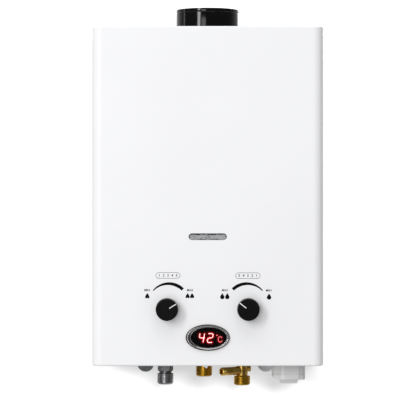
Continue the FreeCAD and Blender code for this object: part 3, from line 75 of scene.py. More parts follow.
def on_cover(px, py):
    """A point of the picture's frame as millimetres (x, z) on the cover's front."""
    return (CAMERA[0] / MM + (px - PX_CENTRE) * PX, CAMERA[2] / MM - (py - PX_CENTRE) * PX)


def grey(level):
    """The linear value of an 8-bit display level."""
    v = level / 255
    return v / 12.92 if v <= 0.04045 else ((v + 0.055) / 1.055) ** 2.4


def colour(r, g, b):
    """A linear colour from 8-bit display levels."""
    return (grey(r), grey(g), grey(b), 1.0)


# ---- materials ----
class Nodes:
    """The node tree of a material or a world, emptied, with short ways to add to it."""

    def __init__(self, owner):
        owner.use_nodes = True
        self.tree = owner.node_tree
        self.tree.nodes.clear()

    def feed(self, socket, value):
        """Links another socket to a socket, or sets it to a plain value."""
        if isinstance(value, bpy.types.NodeSocket):
            self.tree.links.new(value, socket)
        else:
            socket.default_value = value

    def node(self, kind, inputs=None, **settings):
        """A new node: inputs gives its sockets by name or number, and settings its own properties."""
        made = self.tree.nodes.new(kind)
        for key, value in settings.items():
            setattr(made, key, value)
        for key, value in (inputs or {}).items():
            self.feed(made.inputs[key], value)
        return made

    def remap(self, value, low, high, to_low=0.0, to_high=1.0, how="SMOOTHSTEP"):
        """Carries a value from the range between low and high to another range."""
        limits = {"From Min": low, "From Max": high, "To Min": to_low, "To Max": to_high}
        return self.node("ShaderNodeMapRange", {"Value": value, **limits}, interpolation_type=how).outputs[0]

    def sum(self, a, b, operation="ADD"):
        """One Math node, a sum unless another operation is named."""
        return self.node("ShaderNodeMath", {0: a, 1: b}, operation=operation).outputs[0]


class Finish(Nodes):
    """A Principled material on the object's own coordinates, in metres, built up by its methods."""

    def __init__(self, name, **sockets):
        self.material = bpy.data.materials.new(name)
        super().__init__(self.material)
        self.shader = self.node("ShaderNodeBsdfPrincipled")
        self.node("ShaderNodeOutputMaterial", {"Surface": self.shader.outputs[0]})
        self.place = self.node("ShaderNodeTexCoord").outputs["Object"]
        self.normal = None
        self.set(**sockets)

    def set(self, **sockets):
        """Feeds the shader's sockets: Coat_Weight=0.3 is the socket Coat Weight."""
        for key, value in sockets.items():
            self.feed(self.shader.inputs[key.replace("_", " ")], value)

    def spread(self, scale=(1, 1, 1), turn=(0, 0, 0)):
        """The coordinates stretched and turned."""
        change = {"Scale": scale, "Rotation": turn}
        return self.node("ShaderNodeMapping", {"Vector": self.place, **change}).outputs[0]

    def axes(self):
        """The object's X, Y and Z, in metres."""
        return self.node("ShaderNodeSeparateXYZ", {0: self.place}).outputs

    def noise(self, scale, detail=3.0, rough=0.5, place=None, twist=0.0):
        return self.node("ShaderNodeTexNoise", {
            "Vector": place or self.place, "Scale": scale, "Detail": detail, "Roughness": rough,
            "Distortion": twist}).outputs["Fac"]

    def cells(self, scale, output, place):
        return self.node("ShaderNodeTexVoronoi", {"Vector": place, "Scale": scale}).outputs[output]

    def blend(self, factor, a, b):
        return self.node("ShaderNodeMix", {0: factor, 6: a, 7: b}, data_type="RGBA").outputs[2]

    def steps(self, value, stops):
        """Four colours at four positions of a value."""
        made = self.node("ShaderNodeValToRGB", {0: value})
        ramp = made.color_ramp
        ramp.elements[0].position, ramp.elements[0].color = stops[0]
        ramp.elements[1].position, ramp.elements[1].color = stops[-1]
        for position, tone in stops[1:-1]:
            ramp.elements.new(position).color = tone
        return made.outputs[0]

    def bump(self, height, depth_mm, strength=1.0):
        """Adds relief of the given depth on top of what is there."""
        below = {} if self.normal is None else {"Normal": self.normal}
        relief = {"Strength": strength, "Distance": depth_mm * MM, "Height": height}
        self.normal = self.node("ShaderNodeBump", {**relief, **below}).outputs[0]
        self.set(Normal=self.normal)

    def base(self, tone):
        self.set(Base_Color=tone)

    def rough(self, value):
        self.set(Roughness=value)


def mottled(name, dark, light, rough, patch=45.0, grain=900.0, relief_mm=0.02, stretch=(1, 1, 1), **sockets):
    """Two tones in soft patches, a roughness that varies between two values, and a fine grain."""
    made = Finish(name, **sockets)
    place = made.spread(scale=stretch)
    made.base(made.blend(made.remap(made.noise(patch, 4.0, 0.6, place), 0.3, 0.7), dark, light))
    made.rough(made.remap(made.noise(patch * 3.3, 4.0, 0.65, place), 0.25, 0.75, rough[0], rough[1]))
    made.bump(made.noise(grain, 3.0, 0.6, place), relief_mm)
    return made


def white_enamel():
    """Baked powder coat: barely uneven in tone, with the shallow ripple such a coat dries to."""
    made = Finish("white_enamel", Coat_Weight=0.06, Coat_Roughness=0.24, IOR=1.5, Specular_IOR_Level=0.4)
    tone = made.remap(made.noise(7.0, 3.0), 0.3, 0.7)
    made.base(made.blend(tone, (0.868, 0.870, 0.884, 1), (0.884, 0.886, 0.898, 1)))
    made.rough(made.remap(made.noise(60.0, 4.0, 0.6), 0.3, 0.7, 0.38, 0.46))
    made.bump(made.noise(420.0, 2.0, 0.45), 0.018)
    made.bump(made.noise(2600.0, 2.0, 0.5), 0.003)
    return made


def tone_along(finish, axis, limits, shade):
    """Turns a finish's colour into another one between two places on an axis, in metres."""
    place = finish.axes()[axis]
    plain = finish.shader.inputs["Base Color"].links[0].from_socket
    finish.base(finish.blend(finish.remap(place, *limits), plain, shade))


SPANGLE = 230.0  # zinc crystals to a metre
EAR_BELOW = (-0.2125, -0.2145)  # the back plate is a fixing ear from here down
EAR_FRONT = (-0.0004, -0.0008)  # from the wall side to the front side of the plate
EAR_PAINTED_LIGHT_SIDES = (-0.03, 0.03)  # from the left ear's half to the right ear's: painted shade on the left, painted highlight on the right


def galvanised():
    """Zinc spangle: flat crystals a few millimetres wide, each with its own grey and gloss. The two fixing
    ears' fronts carry painted light: painted shade darkens the left one, a painted highlight brightens the
    right one."""
    made = Finish("galvanised", Metallic=0.85)
    place = made.spread(turn=(0.3, 0.2, 0.5))
    crystal = made.node("ShaderNodeSeparateColor", {0: made.cells(SPANGLE, "Color", place)})
    shade = made.sum(made.sum(crystal.outputs[0], 0.6, "MULTIPLY"), made.noise(60.0, 5.0, 0.7))
    zinc = made.blend(made.remap(shade, 0.3, 1.3), colour(146, 149, 152), colour(178, 181, 183))
    x, y, z = made.axes()
    ears = made.sum(made.remap(z, *EAR_BELOW), made.remap(y, *EAR_FRONT), "MULTIPLY")
    # painted light on the ears' fronts: a dark grey painted shade on the left one, a pale grey painted
    # highlight on the right one
    side = made.blend(made.remap(x, *EAR_PAINTED_LIGHT_SIDES), colour(92, 94, 96), colour(212, 212, 212))
    made.base(made.blend(made.sum(ears, 0.9, "MULTIPLY"), zinc, side))
    made.rough(made.remap(crystal.outputs[1], 0.0, 1.0, 0.34, 0.46))
    made.bump(made.cells(SPANGLE, "Distance", place), 0.01, 0.5)
    made.bump(made.noise(1500.0, 2.0), 0.006)
    return made


def black_enamel():
    """Glossy stoved enamel with a faint ripple."""
    made = Finish("black_enamel", IOR=1.5, Specular_IOR_Level=0.36)
    made.base(made.blend(made.remap(made.noise(30.0, 3.0), 0.3, 0.7), colour(7, 7, 8), colour(11, 11, 12)))
    made.rough(made.remap(made.noise(90.0, 4.0, 0.6), 0.3, 0.7, 0.07, 0.12))
    made.bump(made.noise(160.0, 2.0, 0.5), 0.004)
    return made


def copper():
    """Copper sheet and pipe with brown and purple heat tints."""
    made = Finish("copper", Metallic=1.0)
    patch = made.noise(22.0, 5.0, 0.6, twist=0.6)
    made.base(made.steps(patch, [
        (0.30, colour(150, 86, 66)), (0.45, colour(196, 120, 88)),
        (0.58, colour(214, 144, 108)), (0.72, colour(128, 82, 84)),
    ]))
    made.rough(made.remap(made.noise(120.0, 4.0, 0.6), 0.3, 0.7, 0.22, 0.42))
    made.bump(made.noise(700.0, 3.0), 0.008)
    return made


def brass(name, clean, stained, cast=True):
    """Brass: cast skin on bodies, fine lathe lines on turned pieces, with brown in the hollows."""
    made = Finish(name, Metallic=1.0)
    stain = made.remap(made.noise(70.0, 5.0, 0.65), 0.4, 0.75)
    made.base(made.blend(stain, clean, stained))
    made.rough(made.remap(made.noise(160.0, 4.0, 0.6), 0.3, 0.7, 0.26, 0.4))
    if cast:
        made.bump(made.noise(700.0, 3.0, 0.6), 0.012)
    else:
        lines = made.spread(scale=(0.02, 0.02, 1))
        made.bump(made.noise(5200.0, 2.0, 0.5, lines), 0.006)
        made.bump(made.noise(500.0, 3.0, 0.6), 0.01)
    return made


# Painted shade on the mica: near black under the slot's upper edge, above its lower edge and at its ends.
MICA_PAINTED_SHADE_ABOVE = (-0.0492, -0.0479)
MICA_PAINTED_SHADE_BELOW = (-0.0549, -0.0539)
MICA_PAINTED_SHADE_BEYOND = (0.0217, 0.0233)  # to the left and to the right of the middle, where the slot's ends get painted shade


def mica():
    """Mica sheet: flaky grey streaks, with painted shade along the slot's long edges and at its ends."""
    made = Finish("mica", Coat_Weight=0.4, Coat_Roughness=0.1, IOR=1.56, Alpha=0.96)
    flat = made.spread(scale=(0.22, 1, 1), turn=(0, 0.05, 0))
    flake = made.noise(620.0, 6.0, 0.75, flat, 1.2)
    streaks = made.steps(flake, [
        (0.34, colour(60, 62, 66)), (0.45, colour(118, 120, 124)),
        (0.54, colour(186, 187, 188)), (0.68, colour(84, 85, 88)),
    ])
    x, _, z = made.axes()
    wander = made.remap(made.noise(210.0, 4.0, 0.6), 0.3, 0.7, -0.0008, 0.0008)
    edge = made.remap(made.sum(z, wander), *MICA_PAINTED_SHADE_ABOVE)
    foot = made.remap(made.sum(z, wander), *MICA_PAINTED_SHADE_BELOW, 0.85, 0.0)
    ends = made.remap(made.sum(x, 0.0, "ABSOLUTE"), *MICA_PAINTED_SHADE_BEYOND, 0.0, 0.9)
    # painted shade: a near black along the slot's edges and ends, with a wavering line
    mica_painted_shade = made.sum(made.sum(edge, foot, "MAXIMUM"), ends, "MAXIMUM")
    made.base(made.blend(mica_painted_shade, streaks, colour(20, 20, 24)))
    made.rough(made.remap(flake, 0.3, 0.7, 0.2, 0.5))
    made.bump(flake, 0.12)
    return made


def glow(name, strength, one, other):
    """A lit segment in two close tones, so it isn't one flat colour."""
    made = Finish(name, Roughness=0.4, Emission_Strength=strength)
    tone = made.blend(made.remap(made.noise(900.0, 2.0), 0.2, 0.8), one, other)
    made.set(Base_Color=tone, Emission_Color=tone)
    return made.material


METAL = {"Metallic": 1.0}
# Each mottled finish: its name, its two tones, its lowest and highest roughness, and what else it is given.
MOTTLED = [
    ("circuit_black", (14, 12, 12), (26, 22, 22), (0.35, 0.5), dict(relief_mm=0.01)),
    ("zinc_screw", (150, 150, 140), (208, 208, 200), (0.22, 0.4), dict(patch=160.0, **METAL)),
    ("aluminised", (156, 157, 158), (198, 199, 200), (0.32, 0.5),
     dict(patch=35.0, stretch=(1, 1, 0.3), Metallic=0.9)),
    ("stainless", (150, 148, 144), (196, 195, 192), (0.26, 0.42),
     dict(patch=40.0, grain=1400.0, relief_mm=0.006, stretch=(0.06, 1, 1), **METAL)),
    ("die_cast", (142, 143, 145), (178, 179, 181), (0.42, 0.58),
     dict(patch=60.0, relief_mm=0.05, Metallic=0.8)),
    ("grey_steel", (150, 150, 152), (186, 186, 188), (0.26, 0.36),
     dict(patch=70.0, grain=1600.0, relief_mm=0.01, **METAL)),
    # painted shade: a darker steel for the gas inlet's neck and hexagon
    ("steel_painted_shade", (88, 88, 90), (128, 128, 130), (0.32, 0.44),
     dict(patch=70.0, grain=1600.0, relief_mm=0.01, **METAL)),
    ("spring_steel", (130, 130, 132), (176, 176, 178), (0.2, 0.34), dict(patch=120.0, **METAL)),
    ("dark_rubber", (22, 22, 23), (38, 38, 39), (0.6, 0.78), dict(grain=1300.0)),
    ("switch_plastic", (34, 34, 36), (46, 46, 48), (0.42, 0.55), dict(grain=2200.0, relief_mm=0.012)),
    ("black_plastic", (5, 5, 6), (9, 9, 10), (0.42, 0.52),
     dict(patch=120.0, grain=2600.0, relief_mm=0.008, Specular_IOR_Level=0.1)),
    ("white_mark", (226, 226, 226), (244, 244, 244), (0.4, 0.55),
     dict(patch=300.0, grain=3000.0, relief_mm=0.004)),
    ("chrome", (158, 156, 155), (184, 181, 180), (0.14, 0.22),
     dict(patch=90.0, grain=500.0, relief_mm=0.002, **METAL)),
    # painted shade: a dark chrome for the bezel's outer flank
    ("chrome_painted_shade", (62, 61, 61), (84, 82, 82), (0.2, 0.3),
     dict(patch=90.0, grain=500.0, relief_mm=0.004, **METAL)),
    ("smoked_lens", (112, 100, 100), (120, 106, 106), (0.02, 0.05),
     dict(patch=200.0, grain=300.0, relief_mm=0.0006, Transmission_Weight=1.0, IOR=1.4)),
    ("light_plastic", (222, 222, 221), (234, 234, 233), (0.42, 0.56), dict(patch=24.0, grain=1900.0)),
    # painted highlight: a paler plastic for the battery box front's left round
    ("painted_highlight_edge", (236, 236, 236), (246, 246, 246), (0.42, 0.56), dict(patch=24.0, grain=1900.0)),
    ("ceramic_white", (222, 218, 208), (240, 238, 232), (0.14, 0.26),
     dict(patch=90.0, relief_mm=0.01, Coat_Weight=0.4)),
    ("cell_wrap", (60, 78, 116), (84, 104, 146), (0.2, 0.32),
     dict(patch=50.0, relief_mm=0.004, Coat_Weight=0.4)),
]
BOX_PAINTED_SHADE_BEYOND = (0.1160, 0.1174)  # the battery box's right edge, beyond which its plastic is painted darker as painted shade
BOX_PAINTED_SHADE_BELOW = (-0.2330, -0.2336)  # the chamfered foot of its lid, below which it is painted darker as painted shade


def finishes():
    """One material for each of the record's slots, and a few more for parts of a piece."""
    made = {
        "white_enamel": white_enamel(),
        "galvanised": galvanised(),
        "black_enamel": black_enamel(),
        "copper": copper(),
        "brass": brass("brass", colour(228, 188, 98), colour(160, 118, 52)),
        "brass_thread": brass("brass_thread", colour(206, 160, 52), colour(134, 97, 24), cast=False),
        "mica": mica(),
    }
    for name, dark, light, rough, rest in MOTTLED:
        made[name] = mottled(name, colour(*dark), colour(*light), rough, **rest)
    # painted shade on the battery box: a darker grey on its right-hand strip and on the foot of its lid
    tone_along(made["light_plastic"], "X", BOX_PAINTED_SHADE_BEYOND, colour(216, 216, 216))
    tone_along(made["light_plastic"], "Z", BOX_PAINTED_SHADE_BELOW, colour(209, 209, 209))
    return {name: finish.material for name, finish in made.items()}


MATERIALS = finishes()

for row in frame["record"]["subparts"]:
    node = frame["nodes"].get(row["node"])
    if node is not None:
        for kept in node.material_slots:
            kept.material = MATERIALS[row["material_slot"]]


# ---- mesh helpers ----
def add_piece(name, bm, slot, material=None, also=(), body="heater", stands_for=(), sharp_deg=35.0):
    """Turns a bmesh in metres into a piece that rides on a body and stands for the named nodes. Its faces'
    material indices count from the slot's material, or the one given, through the finishes named in also."""
    bmesh.ops.recalc_face_normals(bm, faces=bm.faces)
    mesh = bpy.data.meshes.new(name)
    bm.to_mesh(mesh)
    bm.free()
    for finish in [material or MATERIALS[slot]] + [MATERIALS[other] for other in also]:
        mesh.materials.append(finish)
    for face in mesh.polygons:
        face.use_smooth = True
    mesh.set_sharp_from_angle(angle=math.radians(sharp_deg))
    piece = bpy.data.objects.new(name, mesh)
    bpy.context.scene.collection.objects.link(piece)
    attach(piece, body)
    if stands_for:
        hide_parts(*stands_for)
    return piece


def point(bm, x, y, z):
    """A vertex from millimetres."""
    return bm.verts.new((x * MM, y * MM, z * MM))


def band(bm, one, two, material_index=0):
    """Joins two closed loops of as many vertices with a band of faces."""
    for k in range(len(one)):
        j = (k + 1) % len(one)
        bm.faces.new((one[k], one[j], two[j], two[k])).material_index = material_index


def skin(bm, loops, capped=True):
    """Joins each loop to the next, and closes the first and the last one with a face."""
    for one, two in zip(loops, loops[1:]):
        band(bm, one, two)
    if capped:
        bm.faces.new(loops[0])
        bm.faces.new(loops[-1])


def plate(bm, outline, y0, y1, hole=None):
    """A closed flat plate between depths y0 and y1, in millimetres; outline and hole are (x, z) points."""
    layers = [[[point(bm, x, y, z) for x, z in loop] for loop in (outline, hole) if loop] for y in (y0, y1)]
    for front, rear in zip(*layers):
        band(bm, front, rear)
    for layer in layers:
        if hole:
            band(bm, *layer)
        else:
            bm.faces.new(layer[0])


def arc_through(a, b, c, count):
    """Points along the circle from a over b to c."""
    (ax, ay), (bx, by), (cx, cy) = a, b, c
    d = 2 * (ax * (by - cy) + bx * (cy - ay) + cx * (ay - by))
    sa, sb, sc = ax * ax + ay * ay, bx * bx + by * by, cx * cx + cy * cy
    x = (sa * (by - cy) + sb * (cy - ay) + sc * (ay - by)) / d
    y = (sa * (cx - bx) + sb * (ax - cx) + sc * (bx - ax)) / d
    start = math.atan2(ay - y, ax - x)
    end = math.atan2(cy - y, cx - x)
    turn = (end - start + math.pi) % (2 * math.pi) - math.pi
    radius = math.hypot(ax - x, ay - y)
    angles = [start + turn * i / count for i in range(count + 1)]
    return [(x + radius * math.cos(t), y + radius * math.sin(t)) for t in angles]


def rounded_bar(x0, x1, z0, z1, count=10):
    """The outline of a bar with half-round ends."""
    half = (z1 - z0) / 2
    middle = (z0 + z1) / 2
    turns = [math.pi * i / count for i in range(count + 1)]
    return [(x + r * math.sin(t), middle + r * math.cos(t))
            for x, r in ((x1 - half, half), (x0 + half, -half)) for t in turns]


# ---- print on the cover ----
INK_FRONT, INK_REAR = FRONT - 0.05, FRONT + 0.15
ARC_STEPS = 28
FRAME_LINE = 0.5  # millimetres
LETTER_WEIGHT = 0.07  # how much each letter grows all round, for a bold face

# Places in the picture's frame. An arc's are its thin end, its top, the two corners of its square end, and
# its top on the inside. A frame's are left, right, top and bottom. A mark's are its tip, width and height.
GAS_ARC = ((152.9, 290.2), (169.0, 282.2), (183.9, 288.3), (181.7, 290.6), (167.4, 285.0))
WATER_ARC = ((262.7, 290.2), (246.6, 282.2), (231.7, 288.3), (233.9, 290.6), (248.2, 285.0))
ARC_TIP_X, ARC_TIP_Y = 0.5, 0.8  # from the thin end on the outside to the one on the inside
GAS_FRAME = (155.7, 180.2, 272.4, 278.5)
WATER_FRAME = (235.4, 260.3, 272.6, 278.7)
LOW_FLAMES = [(147.3, 293.1, 4.3, 5.4)]
HIGH_FLAMES = [(187.6, 293.2, 4.1, 5.0), (192.1, 293.2, 4.1, 5.0)]
HIGH_DROPS = [(222.3, 293.0, 4.3, 6.2), (227.3, 293.0, 4.3, 6.2)]
LOW_DROPS = [(269.0, 293.5, 4.4, 6.1)]
ink = mottled("ink_black", colour(4, 4, 5), colour(10, 10, 11), (0.6, 0.7), patch=200.0, grain=2400.0,
              relief_mm=0.004, Specular_IOR_Level=0.08).material
grey_ink = mottled("ink_grey", colour(70, 70, 72), colour(88, 88, 90), (0.5, 0.6), patch=200.0,
                   grain=2400.0, relief_mm=0.004, Specular_IOR_Level=0.2).material


def printed(name, outlines, material, hole=None):
    """A thin layer of ink on the cover, with one hole at most."""
    bm = bmesh.new()
    for outline in outlines:
        plate(bm, outline, INK_FRONT, INK_REAR, hole)
    add_piece(name, bm, "black_plastic", material)


def scale_arc(name, thin, top, thick_outer, thick_inner, inner_top):
    """A tapered arc: a thin end that widens over the top to a square end."""
    outer = arc_through(thin, top, thick_outer, ARC_STEPS)
    side = 1 if thick_outer[0] > thin[0] else -1
    start = (thin[0] + side * ARC_TIP_X, thin[1] + ARC_TIP_Y)
    inner = arc_through(start, inner_top, thick_inner, ARC_STEPS)
    printed(name, [[on_cover(*p) for p in outer + inner[::-1]]], ink)


scale_arc("gas_scale_arc", *GAS_ARC)
scale_arc("water_scale_arc", *WATER_ARC)


def frame_ring(name, x0, x1, y0, y1):
    """A thin frame with half-round ends."""
    (left, top), (right, bottom) = on_cover(x0, y0), on_cover(x1, y1)
    outline = rounded_bar(left, right, bottom, top)
    inside = rounded_bar(left + FRAME_LINE, right - FRAME_LINE, bottom + FRAME_LINE, top - FRAME_LINE)
    printed(name, [outline], grey_ink, inside)


frame_ring("gas_scale_frame", *GAS_FRAME)
frame_ring("water_scale_frame", *WATER_FRAME)


def flame(px, py, width, height):
    """A flame with a notch at its foot: the outline in the picture's frame, from its tip at (px, py)."""
    half = [(0.0, 0.0), (0.16, 0.14), (0.32, 0.33), (0.46, 0.56), (0.5, 0.77), (0.43, 0.93), (0.27, 1.0),
            (0.15, 0.96), (0.07, 0.9), (0.0, 0.84)]
    right = [(px + x * width, py + y * height) for x, y in half]
    left = [(px - x * width, py + y * height) for x, y in half[-2:0:-1]]
    return [on_cover(*p) for p in right + left]


def drop(px, py, width, height):
    """A water drop from its tip at (px, py)."""
    radius = width / 2
    centre = py + height - radius
    low = [(px + radius * math.cos(t), centre + radius * math.sin(t))
           for t in (math.radians(-20 + 220 * i / 18) for i in range(19))]
    neck_right = [(px + radius * 0.36, py + (height - radius) * 0.3),
                  (px + radius * 0.74, centre - radius * 0.74)]
    neck_left = [(2 * px - x, y) for x, y in neck_right[::-1]]
    return [on_cover(*p) for p in [(px, py)] + neck_right + low + neck_left]


for mark, shape, places in (("flame_low_mark", flame, LOW_FLAMES), ("flame_high_marks", flame, HIGH_FLAMES),
                            ("drop_high_marks", drop, HIGH_DROPS), ("drop_low_mark", drop, LOW_DROPS)):
    printed(mark, [shape(*place) for place in places], ink)


def lettering(name, text, px, py, size_mm, material, wide):
    """Raised lettering centred on a point of the picture's frame, made into a mesh."""
    curve = bpy.data.curves.new(name + "_text", type="FONT")
    curve.body = text
    curve.size = size_mm * MM
    curve.extrude = (INK_REAR - INK_FRONT) / 2 * MM
    curve.offset = LETTER_WEIGHT * MM
    curve.align_x, curve.align_y = "CENTER", "CENTER"
    curve.resolution_u = 3
    source = bpy.data.objects.new(name + "_text", curve)
    bpy.context.scene.collection.objects.link(source)
    made = bpy.data.meshes.new_from_object(source.evaluated_get(bpy.context.evaluated_depsgraph_get()))
    bpy.data.objects.remove(source)
    bpy.data.curves.remove(curve)
    x, z = on_cover(px, py)
    made.transform(Matrix.Diagonal((wide, 1, 1, 1)))
    made.transform(Matrix.Rotation(math.pi / 2, 4, "X"))
    made.transform(Matrix.Translation((x * MM, (INK_FRONT + INK_REAR) / 2 * MM, z * MM)))
    bm = bmesh.new()
    bm.from_mesh(made)
    bpy.data.meshes.remove(made)
    bmesh.ops.remove_doubles(bm, verts=bm.verts, dist=1e-7)
    add_piece(name, bm, "black_plastic", material)


# Each word's name and text, its middle in the picture's frame, its size in millimetres, ink and stretch.
WORDS = [
    ("gas_scale_numbers", "1  2  3  4  5", 167.95, 275.45, 4.6, grey_ink, 1.12),
    ("water_scale_numbers", "5  4  3  2  1", 247.85, 275.65, 4.6, grey_ink, 1.12),
    ("gas_low_word", "MIN", 147.2, 290.2, 4.0, ink, 1.0),
    ("gas_high_word", "MAX", 190.1, 290.2, 4.0, ink, 0.92),
    ("water_high_word", "MAX", 224.9, 290.3, 4.0, ink, 0.92),
    ("water_low_word", "MIN", 268.7, 290.5, 4.0, ink, 1.0),
]
for word in WORDS:
    lettering(*word)


# ---- the lit display ----
DIGIT_FRONT, DIGIT_REAR = -124.9, -124.6
HALO_LAYERS = 6
HALO_T, HALO_STEP = 0.012, 0.03  # a layer's thickness, and from one layer to the next
HALO_FADE = 0.12  # the last layer's brightness as a share of the first one's
digit_glow = glow("digit_glow", 11.0, (1.0, 0.74, 0.72, 1), (1.0, 0.80, 0.78, 1))
unit_glow = glow("unit_glow", 6.0, (1.0, 0.34, 0.35, 1), (1.0, 0.44, 0.45, 1))


def smooth_line(points, per=6):
    """A Catmull-Rom line through the points."""
    last = len(points) - 1
    line = []
    for i in range(last):
        a, b, c, d = (points[max(0, min(last, i + k))] for k in (-1, 0, 1, 2))
        for step in range(per):
            t = step / per
            line.append(tuple(
                0.5 * (2 * q + (r - p) * t + (2 * p - 5 * q + 4 * r - s) * t * t
                       + (3 * q - p - 3 * r + s) * t ** 3)
                for p, q, r, s in zip(a, b, c, d)))
    return line + [points[-1]]


def stroke(bm, points, width, y0, y1):
    """A rounded stroke of the given width along a line of (x, z) points, as one closed plate."""
    half = width / 2
    left, right = [], []
    for i, (x, z) in enumerate(points):
        ax, az = points[max(0, i - 1)]
        bx, bz = points[min(len(points) - 1, i + 1)]
        length = math.hypot(bx - ax, bz - az) or 1.0
        nx, nz = -(bz - az) / length, (bx - ax) / length
        left.append((x + nx * half, z + nz * half))
        right.append((x - nx * half, z - nz * half))

    def cap(centre, start):
        cx, cz = centre
        sx, sz = start[0] - cx, start[1] - cz
        turns = [math.radians(-30 * k) for k in range(1, 6)]
        return [(cx + sx * math.cos(t) - sz * math.sin(t), cz + sx * math.sin(t) + sz * math.cos(t))
                for t in turns]

    outline = left + cap(points[-1], left[-1]) + right[::-1] + cap(points[0], right[0])
    plate(bm, outline, y0, y1)


# Each line is in the picture's frame.
FOUR = [[(199.9, 333.8), (199.6, 335.6), (199.6, 337.1), (200.6, 337.8), (203.9, 337.9)],
        [(204.5, 333.9), (203.9, 338.0), (203.1, 341.8)]]
TWO = [[(208.8, 333.6), (211.2, 333.5), (212.8, 334.0), (213.0, 335.4), (212.5, 337.0), (211.2, 337.8),
        (208.8, 338.1), (207.7, 339.1), (207.4, 340.8), (207.7, 342.0), (208.8, 342.4), (211.8, 342.4)]]
LETTER_C = [[(221.9, 337.7), (221.0, 336.8), (219.5, 336.7), (218.5, 337.8), (218.3, 339.9), (218.7, 341.2),
             (219.9, 342.0), (221.2, 341.7), (222.0, 340.8)]]
DEGREE = [(216.9, 335.3), (217.1, 335.3)]


def lit(name, lines, width, material, y0, y1):
    """Strokes behind the lens; a line of two points stays straight."""
    bm = bmesh.new()
    for line in lines:
        shown = [on_cover(*p) for p in (smooth_line(line) if len(line) > 2 else line)]
        stroke(bm, shown, width, y0, y1)
    add_piece(name, bm, "circuit_black", material)


lit("display_digits", FOUR + TWO, 0.92, digit_glow, DIGIT_FRONT, DIGIT_REAR)
lit("display_unit", LETTER_C, 0.6, unit_glow, DIGIT_FRONT, DIGIT_REAR)
lit("display_degree", [DEGREE], 1.2, unit_glow, DIGIT_FRONT, DIGIT_REAR)
# The glow spreads round the digits in layers, each wider, dimmer and further back. Each halo's name and
# lines, its first width and how much wider its last is, its first brightness and its first depth.
HALOS = [("digit", FOUR + TWO, 1.5, 4.0, 1.9, -124.58),
         ("unit", LETTER_C + [DEGREE], 1.0, 3.2, 1.0, -124.565)]
for part, lines, close, reach, bright, y in HALOS:
    for layer in range(HALO_LAYERS):
        share = layer / (HALO_LAYERS - 1)
        power = bright * HALO_FADE ** share
        red = glow(f"{part}_halo_{layer}", power, (0.80, 0.0, 0.012, 1), (1.0, 0.0, 0.018, 1))
        lit(f"display_{part}_halo_{layer}", lines, close + reach * share, red, y, y + HALO_T)
        y += HALO_STEP


# ---- display bezel ----
BEZEL_PAINTED_SHADE_BANDS = 6  # the first bands of the ring's section, its outer flank, are a darker chrome as painted shade
SEAT = 16  # from this band on it is the unplated seat of the lens
LENS_X = 1.3  # how far the lens sits to the right of the ring's middle


def bezel():
    """The plated ring: an upright outer wall, a domed face and a small lip round the lens."""
    outer, inner = (27.6, 16.5), (22.6, 12.9)  # half axes
    # Each point is a share of the way from the outer to the inner edge, and a depth.
    section = [(0.43, -125.0), (0.0, -125.0), (0.0, -126.3), (0.03, -126.9), (0.1, -127.5), (0.2, -127.95),
               (0.32, -128.17), (0.44, -128.18), (0.49, -128.1), (0.57, -127.85), (0.7, -127.5),
               (0.78, -127.26), (0.81, -127.18), (0.88, -127.18), (0.91, -127.42), (0.93, -127.46),
               (1.0, -127.34), (1.0, -125.15), (1.22, -125.15), (1.22, -122.6), (0.43, -122.6)]
    steps = 160
    bm = bmesh.new()
    loops = []
    for s, y in section:
        a, b = (o + (i - o) * s for o, i in zip(outer, inner))
        loops.append([point(bm, a * math.cos(t) + LENS_X * s, y, DISPLAY_Z + b * math.sin(t))
                      for t in (2 * math.pi * k / steps for k in range(steps))])
    for i, (one, two) in enumerate(zip(loops, loops[1:] + loops[:1])):
        # the outer flank takes the dark chrome as painted shade, the seat black plastic
        band(bm, one, two, 1 if i < BEZEL_PAINTED_SHADE_BANDS else 2 if i >= SEAT else 0)
    add_piece("display_bezel_ring", bm, "chrome", also=("chrome_painted_shade", "black_plastic"),
              stands_for=["display_bezel"], sharp_deg=50.0)


bezel()


def lens():
    """The tinted lens, flat in the middle and rolled down to its rim."""
    a, b, front, rear, rise = 22.5, 12.8, -126.6, -125.2, 0.2
    steps, rows = 128, 24
    bm = bmesh.new()

    def ring(scale, y):
        return [point(bm, LENS_X + a * scale * math.cos(t), y, DISPLAY_Z + b * scale * math.sin(t))
                for t in (2 * math.pi * k / steps for k in range(steps))]

    shares = [(k / rows) ** 0.6 for k in range(1, rows + 1)]
    skin(bm, [ring(r, front + rise * r ** 6) for r in shares] + [ring(1.0, rear)])
    add_piece("display_lens_domed", bm, "smoked_lens", stands_for=["display_lens"], sharp_deg=50.0)


lens()


# ---- knob pointers ----
def pointer(name, body, node, knob_x, turn_deg):
    """A white line inlaid in a knob's face that runs over its edge and a little way down its side."""
    face, proud, sunk, half = -143.2, 0.12, 0.3, 0.54
    start, edge, side_r, down, edge_steps = 3.7, 12.6, 13.72, 4.2, 8
    # Each point is a radius and a depth, then which way is out of the knob there.
    path = [(start + 0.3 * i, face, 0, -1) for i in range(3)] + [(12.4, face, 0, -1)]
    for i in range(1, edge_steps + 1):
        t = math.pi / 2 * i / edge_steps
        path.append((edge + math.sin(t), face + 1 - math.cos(t), math.sin(t), -math.cos(t)))
    path.append((side_r, face + down, 1, 0))
    bm = bmesh.new()
    turn = math.radians(90 + turn_deg)
    loops = []
    for i, (r, y, nr, ny) in enumerate(path):
        wide = half * (0.45, 0.85, 1.0)[min(i, 2)]
        loop = []
        for side, lift in ((-wide, proud), (wide, proud), (wide, -sunk), (-wide, -sunk)):
            along = r + nr * lift
            loop.append(point(bm, knob_x + along * math.cos(turn) - side * math.sin(turn), y + ny * lift,
                              KNOB_Z + along * math.sin(turn) + side * math.cos(turn)))
        loops.append(loop)
    skin(bm, loops)
    add_piece(name, bm, "white_mark", body=body, stands_for=[node])


